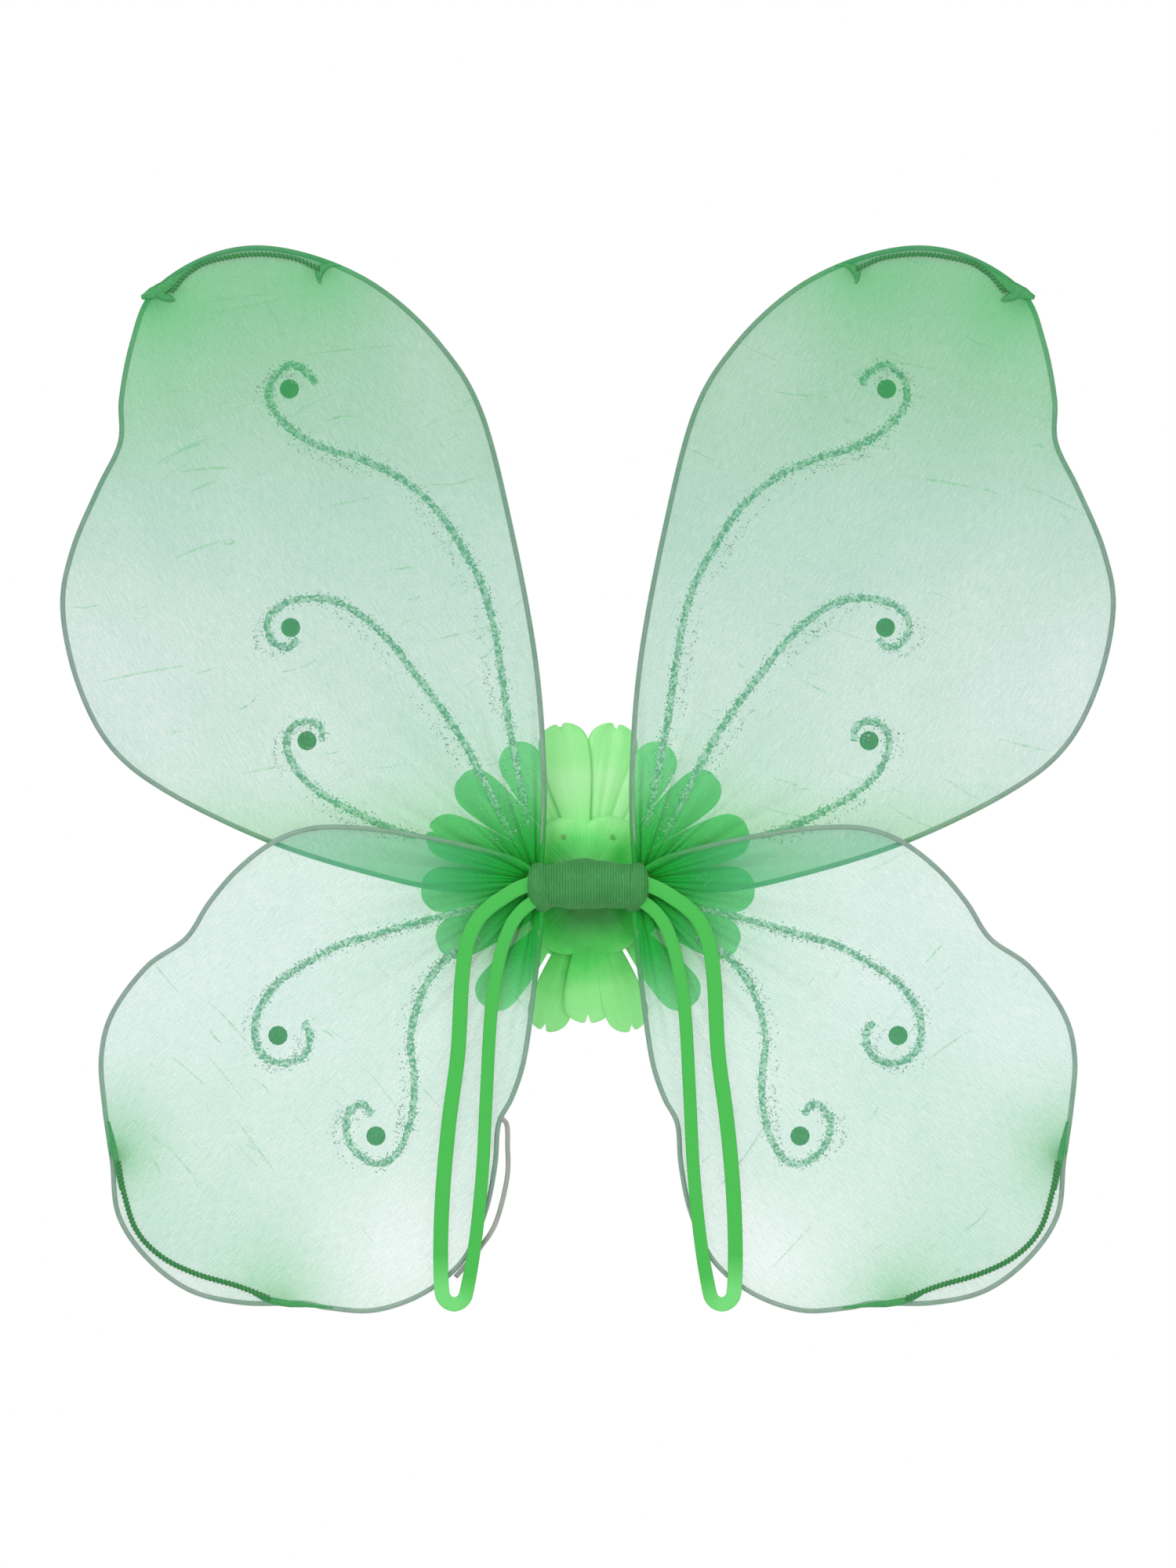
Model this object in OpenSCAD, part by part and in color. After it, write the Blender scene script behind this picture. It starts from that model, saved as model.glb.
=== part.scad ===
// Fairy wings: four wire-framed nylon wings bound at the middle, two elastic
// arm loops on the wearer's side (-Y) and a fabric flower on the far side (+Y).
// Outlines are given for the +X side and mirrored, in millimetres.

/* [Wings] */
// Thickness of the covered frame wire
wire_d = 2.2; // [1.6:0.1:2.6]
// Thickness of the stretched double nylon
nylon_t = 0.6; // [0.4:0.1:0.8]
// Distance of each wing's middle plane from the frame's middle plane
wing_gap = 1.6; // [1.5:0.1:1.8]
// Width of the glitter glue lines
swirl_w = 3; // [2:0.5:4]
// Height of the glitter glue lines
swirl_h = 0.5; // [0.3:0.1:0.8]
// Diameter of the flat-backed gems
gem_d = 8; // [6:0.5:9]
// Height of the flat-backed gems
gem_h = 1.8; // [1.2:0.1:2.4]
// Width of the overlocked toe seams
seam_w = 2.4; // [1.5:0.1:3]
// Height of the overlocked toe seams
seam_h = 1.2; // [0.8:0.1:1.2]

/* [Binding] */
// Length of the wrapped binding
binding_l = 50; // [48:1:50]
// Diameter of the wrapped binding
binding_d = 18; // [16:0.5:18]
// Diameter of the taped core
core_d = 10; // [9:0.5:12]
// Bare diameter of the frame wire
tail_d = 1.6; // [1.2:0.1:1.8]

/* [Arm loops] */
// Width of the elastic
strap_w = 6; // [5:0.5:6]
// Thickness of the elastic
strap_t = 1.2; // [0.8:0.1:1.4]
// Distance of the loops from the frame's middle plane
strap_y = 5; // [5:0.1:6]

/* [Flower] */
// Diameter across the long petals
flower_d = 134; // [120:1:136]
// Width of the long petals
petal_w = 20; // [16:1:22]
// Thickness of the petal fabric
petal_t = 0.8; // [0.6:0.1:1]
// Lean of the petals away from the wings
petal_lean = 14; // [12:1:20]

/* [Hidden] */

// Wing outlines [x, z], from the inner edge at the binding round to the root
upper_edge = [
    [19, 11], [18, 45], [21.5, 92], [31.5, 146], [44, 194], [61, 221.5], [84, 243],
    [109, 255.5], [135, 260.5], [158, 255.5], [178, 241.5], [186, 222], [190.5, 199],
    [191, 181], [200, 162], [210.5, 137], [214.5, 113], [208, 82], [194, 56],
    [170, 37.5], [128, 17.5], [86, 4.5], [56, -1.5], [32, 0.5]
];
lower_edge = [
    [19, -12], [22, -41], [26, -70], [31, -86], [36.5, -97], [38, -114], [42, -133],
    [51, -152.5], [67, -166], [87, -173], [106, -172], [117, -170], [140, -170],
    [162, -165], [180, -151.5], [191.5, -134], [194, -112], [197, -91], [198.5, -70],
    [194, -52], [180, -33], [164, -21.5], [154.5, -7], [143, 6.5], [128, 18],
    [112, 23.5], [92, 23.5], [70, 20.5], [50, 16.5], [32, 11.5]
];
// Where the nylon is cut round the end of the binding
upper_mouth = [[29, 2.5], [28, 11.2]];
lower_mouth = [[30.2, 7.2], [28.5, -12.4]];
// Lapped end of the lower left frame, outside the nylon
lap_edge = [
    [33.2, -97], [32.8, -106], [33, -119], [37.5, -137], [44, -147.5], [54, -159.5]
];
// Toe seams of the nylon sleeves
upper_seam = [[169.5, 241], [163, 248.5], [154, 253.5], [137, 257], [121, 255.5], [111, 252]];
lower_seam = [
    [191, -114], [189, -126], [184, -140.5], [174, -151], [160, -158], [143, -163],
    [131, -167]
];
// Glitter lines, each from its curl to its root
upper_lines = [
    [
        [111.5, 204.5], [115, 210], [121, 213], [126.5, 210], [130, 204], [130, 198],
        [126, 191], [118, 184], [107, 178.5], [92, 174], [78, 167.5], [67, 159],
        [59, 150], [51, 137.5], [43.5, 123], [38.5, 106], [35.5, 88], [33, 70],
        [30, 54], [26.5, 36]
    ],
    [
        [118.5, 101], [122, 97.5], [128, 99], [131, 104.5], [130, 110.5],
        [123.5, 115.5], [113.5, 117.5], [102.5, 116], [92, 110], [82, 101], [72.5, 89],
        [62.5, 76], [52, 60.5], [43.5, 45], [36.5, 30.5], [32, 21]
    ],
    [
        [109, 59], [109, 64.5], [113.5, 67], [119.5, 66], [123, 60.5], [122, 53],
        [116.5, 44], [106.5, 36], [95, 30], [83.5, 24.5], [70, 20]
    ]
];
lower_lines = [
    [
        [116.5, -55.5], [113.5, -60], [114.5, -67], [119.5, -71.5], [127, -72],
        [134, -67.5], [136, -58], [134, -50], [126.5, -39.5], [115, -31.5], [101, -24],
        [87, -20], [72, -15.5], [58, -12], [44, -8.5]
    ],
    [
        [88, -93.5], [91.5, -89], [96.5, -91], [99, -98], [96, -107], [88, -113],
        [81, -112], [75, -104], [71.5, -91], [71, -77], [72.5, -63], [70, -50],
        [65, -38.5], [56.5, -28.5], [44, -21]
    ]
];
// Gem centres, one in each curl
upper_gems = [[122, 203], [121.5, 105.5], [114.8, 59.3]];
lower_gems = [[126.5, -61], [86.5, -102]];
// Arm loop, from its outer strand over the bottom to its inner strand
strap_line = [
    [34.5, -5], [40, -8.5], [45.5, -14.5], [49.5, -24.5], [51.5, -40], [53, -68],
    [56.5, -95], [59, -122], [60, -146], [59.6, -164], [58.1, -168.6], [54.5, -170.4],
    [50.9, -168.6], [49.2, -164], [45.8, -144], [43, -116], [41.5, -87], [40, -58],
    [38.5, -43], [35.2, -29]
];
// Where the two strands of a loop come out of the binding
strap_root_lines = [
    [[26.4, -0.2], [30, -2], [34.2, -4.7]],
    [[26.4, -12], [30, -17], [34.8, -27.5]]
];
// Directions of the long petals, from +X towards +Z: the ring next to the wings,
// then the ring behind it
outer_petal_turns = [-90, -73, -22, 19, 61, 100, 140, 182, 229];
second_petal_turns = [-49, -2, 40, 80, 119, 161, 202, 253];
inner_petal_turns = [for (i = [0 : 7]) 45 * i + 10];

wire_r = wire_d / 2;
wire_sides = 8;
curve_steps = 4;
binding_r = binding_d / 2;
upper_y = wing_gap;
lower_y = -wing_gap;
back_face = nylon_t / 2;
flower_y = 14;
flower_r = flower_d / 2;
petal_start = 6;
backing_r = 27;
backing_t = 1.6;
neck_start = 25.8;
neck_end = 31;

frame_green = [0.45, 0.6, 0.5];
nylon_green = [0.76, 0.89, 0.83];
seam_green = [0.1, 0.55, 0.25];
swirl_green = [0.43, 0.72, 0.54];
gem_green = [0.29, 0.62, 0.36];
wrap_green = [0.29, 0.6, 0.35];
strap_green = [0.3, 0.77, 0.33];
petal_green = [0.49, 0.88, 0.44];
petal_dark = [0.25, 0.7, 0.3];

// Point at t between b and c on a smooth curve through a, b, c and d
function curve_point(a, b, c, d, t) =
    0.5 * (2 * b + (c - a) * t + (2 * a - 5 * b + 4 * c - d) * t * t
    + (3 * b - a - 3 * c + d) * t * t * t);

// Open smooth curve through pts
function curve(pts, n = curve_steps) =
    let (m = len(pts) - 1)
    concat(
        [
            for (i = [0 : m - 1])
                for (j = [0 : n - 1])
                    curve_point(
                        i == 0 ? 2 * pts[0] - pts[1] : pts[i - 1],
                        pts[i],
                        pts[i + 1],
                        i == m - 1 ? 2 * pts[m] - pts[m - 1] : pts[i + 2],
                        j / n
                    )
        ],
        [pts[m]]
    );

function unit(v) = v / norm(v);

// Unit normal on the left of the curve c at its point i
function side(c, i) =
    let (t = unit(c[min(i + 1, len(c) - 1)] - c[max(i - 1, 0)]))
    [-t[1], t[0]];

// The curve c moved sideways by d
function moved(c, d) = [for (i = [0 : len(c) - 1]) c[i] + d * side(c, i)];

// Ribbon of width w along the curve c
function ribbon(c, w) =
    concat(moved(c, w / 2), [for (i = [len(c) - 1 : -1 : 0]) moved(c, -w / 2)[i]]);

// Extrudes an outline drawn in [x, z], from y to y + t
module plate(y, t) {
    translate([0, y + t, 0])
        rotate([90, 0, 0])
            linear_extrude(t)
                children();
}

// Round wire of radius r along the curve c, in the plane y
module wire(c, r, y) {
    n = wire_sides;
    rings = len(c);
    points = [
        for (i = [0 : rings - 1])
            for (j = [0 : n - 1])
                let (s = side(c, i), a = 360 * (j + 0.5) / n)
                [
                    c[i][0] + r * cos(a) * s[0],
                    y + r * sin(a),
                    c[i][1] + r * cos(a) * s[1]
                ]
    ];
    walls = [
        for (i = [0 : rings - 2])
            for (j = [0 : n - 1])
                let (k = (j + 1) % n)
                [i * n + j, (i + 1) * n + j, (i + 1) * n + k, i * n + k]
    ];
    first_cap = [for (j = [0 : n - 1]) j];
    last_cap = [for (j = [n - 1 : -1 : 0]) (rings - 1) * n + j];
    polyhedron(points, concat([first_cap, last_cap], walls), convexity = 10);
}

// Draws its children on the +X side, or mirrored to the -X side
module on_side(right) {
    if (right)
        children();
    else
        mirror([1, 0, 0])
            children();
}

// Frame loop of one wing
module wing_wire(right, edge, y) {
    color(frame_green)
        on_side(right)
            wire(curve(edge), wire_r, y);
}

// Nylon stretched inside one frame loop
module wing_nylon(right, edge, mouth, y, turn) {
    gap = 0.05;
    color(nylon_green)
        on_side(right)
            plate(y - nylon_t / 2, nylon_t)
                polygon(concat(moved(curve(edge), turn * (wire_r + gap)), mouth));
}

// Overlocked seam that closes the toe of one nylon sleeve
module toe_seam(right, line, y) {
    color(seam_green)
        on_side(right)
            plate(y - nylon_t / 2 - seam_h, seam_h)
                polygon(ribbon(curve(line, 5), seam_w));
}

// Glitter glue lines on the far face of one wing
module swirls(right, lines, y) {
    color(swirl_green)
        on_side(right)
            for (line = lines)
                plate(y + back_face, swirl_h)
                    polygon(ribbon(curve(line, 3), swirl_w));
}

// Flat-backed gems glued inside the curls of one wing
module gems(right, centres, y) {
    bevel = 1.4;
    color(gem_green)
        on_side(right)
            for (p = centres)
                translate([p[0], y + back_face, p[1]])
                    rotate([-90, 0, 0]) {
                        cylinder(h = 0.5, d = gem_d, $fn = 48);
                        translate([0, 0, 0.5])
                            cylinder(h = gem_h - 0.5, d1 = gem_d, d2 = gem_d - 2 * bevel, $fn = 48);
                    }
}

// Bar along X with its middle at x = 0
module bar(l, d) {
    translate([-l / 2, 0, 0])
        rotate([0, 90, 0])
            cylinder(h = l, d = d, $fn = 48);
}

// Eight frame ends lying side by side: one in the middle, seven round it
module wire_tails() {
    ring_r = (core_d - 1) / 2 - tail_d / 2 - 0.2;
    color("silver") {
        bar(binding_l - 6, tail_d);
        for (i = [0 : 6])
            rotate([360 * i / 7, 0, 0])
                translate([0, 0, ring_r])
                    bar(binding_l - 6, tail_d);
    }
}

// Tape wound round the frame ends
module core_tape() {
    color("gainsboro")
        difference() {
            bar(binding_l - 6, core_d);
            bar(binding_l, core_d - 1);
        }
}

// Soft nylon wrap: a closed sleeve with a low swelling in the middle
module centre_wrap() {
    l = binding_l / 2 - 5;
    color(wrap_green)
        rotate([0, 90, 0])
            rotate_extrude($fn = 64)
                polygon([
                    [core_d / 2, -l], [binding_r - 0.6, -l], [binding_r, -l + 3],
                    [binding_r + 0.4, 0], [binding_r, l - 3], [binding_r - 0.6, l],
                    [core_d / 2, l]
                ]);
}

// End windings of the wrap, closed over the end of the core
module wrap_band(right) {
    turns = 3;
    steps = 8 * turns;
    ridge_h = 0.8;
    start = binding_l / 2 - 5;
    end = binding_l / 2;
    ridges = [
        for (i = [0 : steps])
            [
                binding_r + ridge_h * abs(sin(180 * turns * i / steps)),
                start + (end - start) * i / steps
            ]
    ];
    color(wrap_green)
        on_side(right)
            rotate([0, 90, 0])
                rotate_extrude($fn = 64)
                    polygon(concat(
                        [[core_d / 2, start]],
                        ridges,
                        [[0, end], [0, end - 3], [core_d / 2, end - 3]]
                    ));
}

// Short round stretch from a to b
module stub(a, b, r) {
    v = b - a;
    translate(a)
        rotate([0, acos(v[2] / norm(v)), atan2(v[1], v[0])])
            cylinder(h = norm(v), r = r, $fn = 24);
}

// Frame ends and gathered nylon between the binding and one upper wing
module upper_neck(right) {
    color(frame_green)
        on_side(right) {
            stub([neck_start, upper_y, 1.5], [neck_end, upper_y, 0.8], wire_r);
            stub([19, upper_y, 9.4], [19, upper_y, 10.8], wire_r);
        }
}

// Frame ends and gathered nylon between the binding and one lower wing
module lower_neck(right) {
    color(frame_green)
        on_side(right) {
            stub([neck_start, lower_y, 7], [neck_end, lower_y, 11.1], wire_r);
            stub([19, lower_y, -9.4], [19, lower_y, -11.8], wire_r);
        }
}

// Elastic arm loop, hanging flat in front of a lower wing
module strap(right) {
    color(strap_green)
        on_side(right)
            plate(-strap_y - strap_t / 2, strap_t)
                polygon(ribbon(curve(strap_line, 5), strap_w));
}

// Stretches of elastic between the binding and the hanging loop
module strap_root(right) {
    color(strap_green)
        on_side(right)
            for (line = strap_root_lines)
                plate(-strap_y - strap_t / 2, strap_t)
                    polygon(ribbon(curve(line, 4), strap_w - 1));
}

// Half-widths of a petal along its length, and its notched tip
function petal_outline(length, width) = [
    [0, -0.16 * width], [0.3 * length, -0.34 * width], [0.55 * length, -0.47 * width],
    [0.75 * length, -0.5 * width], [0.9 * length, -0.4 * width], [length, -0.16 * width],
    [0.96 * length, 0], [length, 0.16 * width], [0.9 * length, 0.4 * width],
    [0.75 * length, 0.5 * width], [0.55 * length, 0.47 * width],
    [0.3 * length, 0.34 * width], [0, 0.16 * width]
];

// Ring of petals cut from one piece of fabric
module petals(y, reach, width, turns, lean) {
    hub_r = petal_start + 3;
    for (turn = turns)
        rotate([0, -turn, 0])
            translate([petal_start, y, 0])
                rotate([0, 0, lean])
                    plate(0, petal_t)
                        polygon(petal_outline((reach - petal_start) / cos(lean), width));
    translate([0, y, 0])
        rotate([-90, 0, 0])
            cylinder(h = 1.4, r = hub_r, $fn = 48);
}

module flower_petals_outer() {
    color(petal_green)
        petals(flower_y, flower_r, petal_w, outer_petal_turns, petal_lean);
}

module flower_petals_second() {
    color(petal_green)
        petals(flower_y + 2, flower_r - 1, petal_w, second_petal_turns, petal_lean);
}

module flower_petals_inner() {
    color(petal_dark)
        petals(flower_y + 4, 0.66 * flower_r, petal_w - 3, inner_petal_turns, petal_lean + 12);
}

// Domed middle of the flower
module flower_centre() {
    color(petal_dark)
        translate([0, flower_y + 5.4, 0])
            rotate([-90, 0, 0])
                rotate_extrude($fn = 64)
                    polygon([
                        [0, 0], [5.5, 0], [9, 3], [8.6, 5], [7, 6.6], [4, 7.6], [0, 8]
                    ]);
}

// Cupped disc of fabric that carries the flower
module flower_backing() {
    rim_y = (backing_r - petal_start) * tan(petal_lean);
    color(petal_dark)
        translate([0, flower_y - backing_t, 0])
            rotate([-90, 0, 0])
                rotate_extrude($fn = 64)
                    polygon([
                        [0, 0], [petal_start, 0], [backing_r, rim_y],
                        [backing_r, rim_y + 0.6], [petal_start + 3, backing_t - 0.1],
                        [0, backing_t - 0.1]
                    ]);
}

// Thread and glue between the binding and the backing disc
module flower_tie() {
    reach = flower_y - backing_t;
    color(wrap_green)
        difference() {
            for (x = [-6, 6])
                translate([x, 0, 0])
                    rotate([-90, 0, 0])
                        cylinder(h = reach, r = 2.5, $fn = 32);
            bar(binding_l, 2 * binding_r + 0.8);
        }
}

// Two thread knots on the wearer's side of the backing
module flower_stitches() {
    knot_x = 10;
    knot_z = 20;
    knot_h = 0.6;
    rise = (norm([knot_x, knot_z]) - petal_start) * tan(petal_lean);
    color(seam_green)
        for (x = [-knot_x, knot_x])
            translate([x, flower_y - backing_t + rise - knot_h - 0.3, knot_z])
                rotate([-90, 0, 0])
                    cylinder(h = knot_h, r = 0.9, $fn = 24);
}

core_tape();
wire_tails();
centre_wrap();
wrap_band(false);  // wrap_band_left
wrap_band(true);  // wrap_band_right
upper_neck(false);  // upper_left_neck
upper_neck(true);  // upper_right_neck
lower_neck(false);  // lower_left_neck
lower_neck(true);  // lower_right_neck
flower_tie();
flower_backing();
flower_petals_outer();
flower_petals_second();
flower_petals_inner();
flower_centre();
flower_stitches();
wing_wire(false, upper_edge, upper_y);  // upper_left_wire
wing_nylon(false, upper_edge, upper_mouth, upper_y, -1);  // upper_left_nylon
toe_seam(false, upper_seam, upper_y);  // upper_left_toe_seam
swirls(false, upper_lines, upper_y);  // upper_left_swirls
gems(false, upper_gems, upper_y);  // upper_left_gems
wing_wire(true, upper_edge, upper_y);  // upper_right_wire
wing_nylon(true, upper_edge, upper_mouth, upper_y, -1);  // upper_right_nylon
toe_seam(true, upper_seam, upper_y);  // upper_right_toe_seam
swirls(true, upper_lines, upper_y);  // upper_right_swirls
gems(true, upper_gems, upper_y);  // upper_right_gems
wing_wire(false, lower_edge, lower_y);  // lower_left_wire
wing_wire(false, lap_edge, lower_y);  // lower_left_wire_end
wing_nylon(false, lower_edge, lower_mouth, lower_y, 1);  // lower_left_nylon
toe_seam(false, lower_seam, lower_y);  // lower_left_toe_seam
swirls(false, lower_lines, lower_y);  // lower_left_swirls
gems(false, lower_gems, lower_y);  // lower_left_gems
wing_wire(true, lower_edge, lower_y);  // lower_right_wire
wing_nylon(true, lower_edge, lower_mouth, lower_y, 1);  // lower_right_nylon
toe_seam(true, lower_seam, lower_y);  // lower_right_toe_seam
swirls(true, lower_lines, lower_y);  // lower_right_swirls
gems(true, lower_gems, lower_y);  // lower_right_gems
strap_root(false);  // strap_left_root
strap_root(true);  // strap_right_root
strap(false);  // strap_left
strap(true);  // strap_right
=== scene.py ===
"""Costume fairy wings: sheer nylon stretched on four wire loops, bound at the middle,
with two elastic arm loops on the wearer's side (-Y) and a fabric flower behind (+Y).
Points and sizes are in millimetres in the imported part's frame until mm() makes them metres.
"""

import bpy
import numpy as np
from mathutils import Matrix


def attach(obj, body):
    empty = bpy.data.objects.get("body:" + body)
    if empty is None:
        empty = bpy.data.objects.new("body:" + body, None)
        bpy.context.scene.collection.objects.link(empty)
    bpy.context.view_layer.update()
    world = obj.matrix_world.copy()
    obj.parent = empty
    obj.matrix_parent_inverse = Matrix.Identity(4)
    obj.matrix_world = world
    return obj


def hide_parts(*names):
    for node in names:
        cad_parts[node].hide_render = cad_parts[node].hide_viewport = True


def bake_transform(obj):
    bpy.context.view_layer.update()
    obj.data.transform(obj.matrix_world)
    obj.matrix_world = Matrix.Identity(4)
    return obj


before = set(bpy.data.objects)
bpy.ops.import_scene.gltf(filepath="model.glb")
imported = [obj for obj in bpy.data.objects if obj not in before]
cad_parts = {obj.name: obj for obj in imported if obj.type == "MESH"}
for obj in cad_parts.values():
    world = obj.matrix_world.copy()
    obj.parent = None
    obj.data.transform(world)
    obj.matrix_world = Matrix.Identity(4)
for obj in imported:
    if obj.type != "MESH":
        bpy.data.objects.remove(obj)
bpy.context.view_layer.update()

# ---------------------------------------------------------------- camera and studio
# The wings are seen straight on from the wearer's side through a long lens. A white
# surround fills in, two soft boxes shape the front, and one more lights the flower side.
VIEW_HEIGHT = 0.640
VIEW_CENTRE_Z = 0.0416
CAMERA_DISTANCE = 2.4
SENSOR = 36.0


def linear(colour):
    """An sRGB hex colour as linear red, green, blue and alpha 1."""
    parts = np.array([int(colour[i:i + 2], 16) for i in (1, 3, 5)]) / 255.0
    low = parts / 12.92
    high = ((parts + 0.055) / 1.055) ** 2.4
    return [*np.where(parts <= 0.04045, low, high).tolist(), 1.0]


def fit(node, given):
    """Gives a node its values by name: "stops" are the places and colours of a ramp, a node or
    an output is linked to that input, and the rest is set on the node itself or on its socket.
    """
    for name, value in given.items():
        if isinstance(value, bpy.types.Node):
            value = value.outputs[0]
        if name == "stops":
            while len(node.color_ramp.elements) < len(value):
                node.color_ramp.elements.new(0.5)
            for stop, (position, colour) in zip(node.color_ramp.elements, value):
                stop.position = position
                stop.color = linear(colour)
        elif isinstance(value, bpy.types.NodeSocket):
            node.id_data.links.new(value, node.inputs[name])
        elif isinstance(name, str) and hasattr(node, name):
            setattr(node, name, value)
        else:
            node.inputs[name].default_value = value


def add_node(tree, kind, given=None):
    """Adds a shader node of that kind to a tree, with its settings and links."""
    node = tree.nodes.new("ShaderNode" + kind)
    fit(node, given or {})
    return node


camera = bpy.data.objects.new("camera", bpy.data.cameras.new("camera"))
bpy.context.scene.collection.objects.link(camera)
camera.data.sensor_fit = "VERTICAL"
camera.data.sensor_height = SENSOR
camera.data.lens = SENSOR * CAMERA_DISTANCE / VIEW_HEIGHT
camera.location = (0.0, -CAMERA_DISTANCE, VIEW_CENTRE_Z)
camera.rotation_euler = (np.pi / 2, 0.0, 0.0)
bpy.context.scene.camera = camera
bpy.context.scene.view_settings.view_transform = "Standard"

SURROUND = 0.62
world = bpy.data.worlds.new("white_surround")
bpy.context.scene.world = world
world.use_nodes = True
world.node_tree.nodes.clear()
light_path = add_node(world.node_tree, "LightPath")
lit = add_node(world.node_tree, "Background", {"Color": (1, 1, 1, 1), "Strength": SURROUND})
seen = add_node(world.node_tree, "Background", {"Color": (1, 1, 1, 1), "Strength": 1.0})
either = add_node(world.node_tree, "MixShader", {
    "Fac": light_path.outputs["Is Camera Ray"], 1: lit, 2: seen})
add_node(world.node_tree, "OutputWorld", {"Surface": either})

SOFT_BOXES = {
    # name: place, watts, width
    "key_soft_box": ((-0.7, -1.5, 1.3), 17.0, 1.1),
    "fill_soft_box": ((1.1, -1.5, 0.5), 7.0, 1.3),
    "flower_side_soft_box": ((0.8, 1.6, 1.0), 14.0, 1.2),
}
for name, (place, watts, width) in SOFT_BOXES.items():
    box = bpy.data.objects.new(name, bpy.data.lights.new(name, "AREA"))
    bpy.context.scene.collection.objects.link(box)
    box.data.energy = watts
    box.data.size = width
    box.location = place
    towards = -box.location.normalized()
    box.rotation_euler = towards.to_track_quat("-Z", "Y").to_euler()

FLOOR_Z = -0.56
FLOOR_HALF = 2.0
floor_mesh = bpy.data.meshes.new("floor")
floor_mesh.from_pydata(
    [(x, y, FLOOR_Z) for x, y in ((-FLOOR_HALF, -FLOOR_HALF), (FLOOR_HALF, -FLOOR_HALF),
                                  (FLOOR_HALF, FLOOR_HALF), (-FLOOR_HALF, FLOOR_HALF))],
    [], [(0, 1, 2, 3)])
floor = bpy.data.objects.new("floor", floor_mesh)
bpy.context.scene.collection.objects.link(floor)
floor_white = bpy.data.materials.new("matt_white_floor_paper")
floor_white.use_nodes = True
floor_shader = floor_white.node_tree.nodes["Principled BSDF"]
fit(floor_shader, {"Base Color": linear("#f4f4f2"), "Roughness": 0.9})
floor_mesh.materials.append(floor_white)

# ---------------------------------------------------------------- arm loops
# Two loops of 6 mm flat braided elastic, one for each arm. Both ends of a loop are
# caught under the end windings of the binding, and the loop hangs before the lower wing.
ELASTIC_W = 6.1
ELASTIC_NARROW = 5.3
ELASTIC_T = 1.4
LOOP_SIDES = 20
ELASTIC_Y = -5.0
LOOP_ROUTE = [
    (22, 1.5), (29, -1.3), (34.5, -4.6), (40, -8.5), (45.5, -14.5), (49.5, -24.5), (51.5, -40),
    (53, -68), (56.5, -95), (59, -122), (60, -146), (59.6, -164), (58.1, -168.6),
    (54.5, -170.4), (50.9, -168.6), (49.2, -164), (45.8, -144), (43, -116), (41.5, -87),
    (40, -58), (38.5, -43), (35.8, -28.5), (32.2, -17.5), (27.5, -10.5), (22, -6),
]
SIDES = {"left": -1.0, "right": 1.0}


def mm(points):
    """Millimetres to metres."""
    return np.asarray(points, float) * 0.001


def smooth_line(points, steps):
    """A smooth curve through points: each span is the Catmull-Rom cubic of its four points."""
    p = np.asarray(points, float)
    p = np.vstack([2 * p[0] - p[1], p, 2 * p[-1] - p[-2]])
    t = (np.arange(steps) / steps)[None, :, None]
    a, b, c, d = (p[i:len(p) - 3 + i, None, :] for i in range(4))
    spans = 0.5 * (2 * b + (c - a) * t + (2 * a - 5 * b + 4 * c - d) * t ** 2
                   + (3 * b - a - 3 * c + d) * t ** 3)
    return np.vstack([spans.reshape(-1, p.shape[1]), p[-2]])


def length_along(line):
    """Distance along a line at each of its points."""
    return np.concatenate([[0.0], np.cumsum(np.linalg.norm(np.diff(line, axis=0), axis=1))])


def even_line(points, step, steps=12):
    """smooth_line walked in even steps of about that length."""
    line = smooth_line(points, steps)
    along = length_along(line)
    even = np.linspace(0.0, along[-1], max(3, int(round(along[-1] / step)) + 1))
    return np.stack([np.interp(even, along, line[:, k]) for k in range(line.shape[1])], 1)


def normals_of(line):
    """Unit normals in the plane, on the left of the line's direction."""
    tangent = np.gradient(line, axis=0)
    tangent /= np.linalg.norm(tangent, axis=1)[:, None]
    return np.stack([-tangent[:, 1], tangent[:, 0]], 1)


def grid_faces(rows, cols, wrap_rows=False, wrap_cols=False):
    """Quads of a grid of rows by cols points, which may wrap round either way."""
    r, c = np.meshgrid(np.arange(rows if wrap_rows else rows - 1),
                       np.arange(cols if wrap_cols else cols - 1), indexing="ij")
    r2, c2 = (r + 1) % rows, (c + 1) % cols
    quads = np.stack([r * cols + c, r * cols + c2, r2 * cols + c2, r2 * cols + c], -1)
    return quads.reshape(-1, 4)


def tube_faces(rings, sides):
    """Quads of a tube of rings, and one polygon over each end."""
    walls = grid_faces(rings, sides, wrap_cols=True).tolist()
    return walls + [list(range(sides))[::-1], list(range((rings - 1) * sides, rings * sides))]


def swept(line, y, profile):
    """Carries closed profiles (across, towards +Y) along a line in the XZ plane at height y."""
    profile = np.broadcast_to(profile, (len(line),) + np.shape(profile)[-2:])
    side = normals_of(line)
    across, out = profile[..., 0], profile[..., 1]
    y = np.broadcast_to(np.asarray(y, float), (len(line),))
    points = np.stack([
        line[:, 0, None] + across * side[:, 0, None],
        y[:, None] + out,
        line[:, 1, None] + across * side[:, 1, None],
    ], -1)
    return points.reshape(-1, 3)


def ellipse(width, height, sides, power=1.0):
    """Closed profile of that width and height; a power under 1 squares its corners."""
    a = 2 * np.pi * np.arange(sides) / sides
    c, s = np.cos(a), np.sin(a)
    return np.stack([np.sign(c) * np.abs(c) ** power * width / 2,
                     np.sign(s) * np.abs(s) ** power * height / 2], -1)


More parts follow.
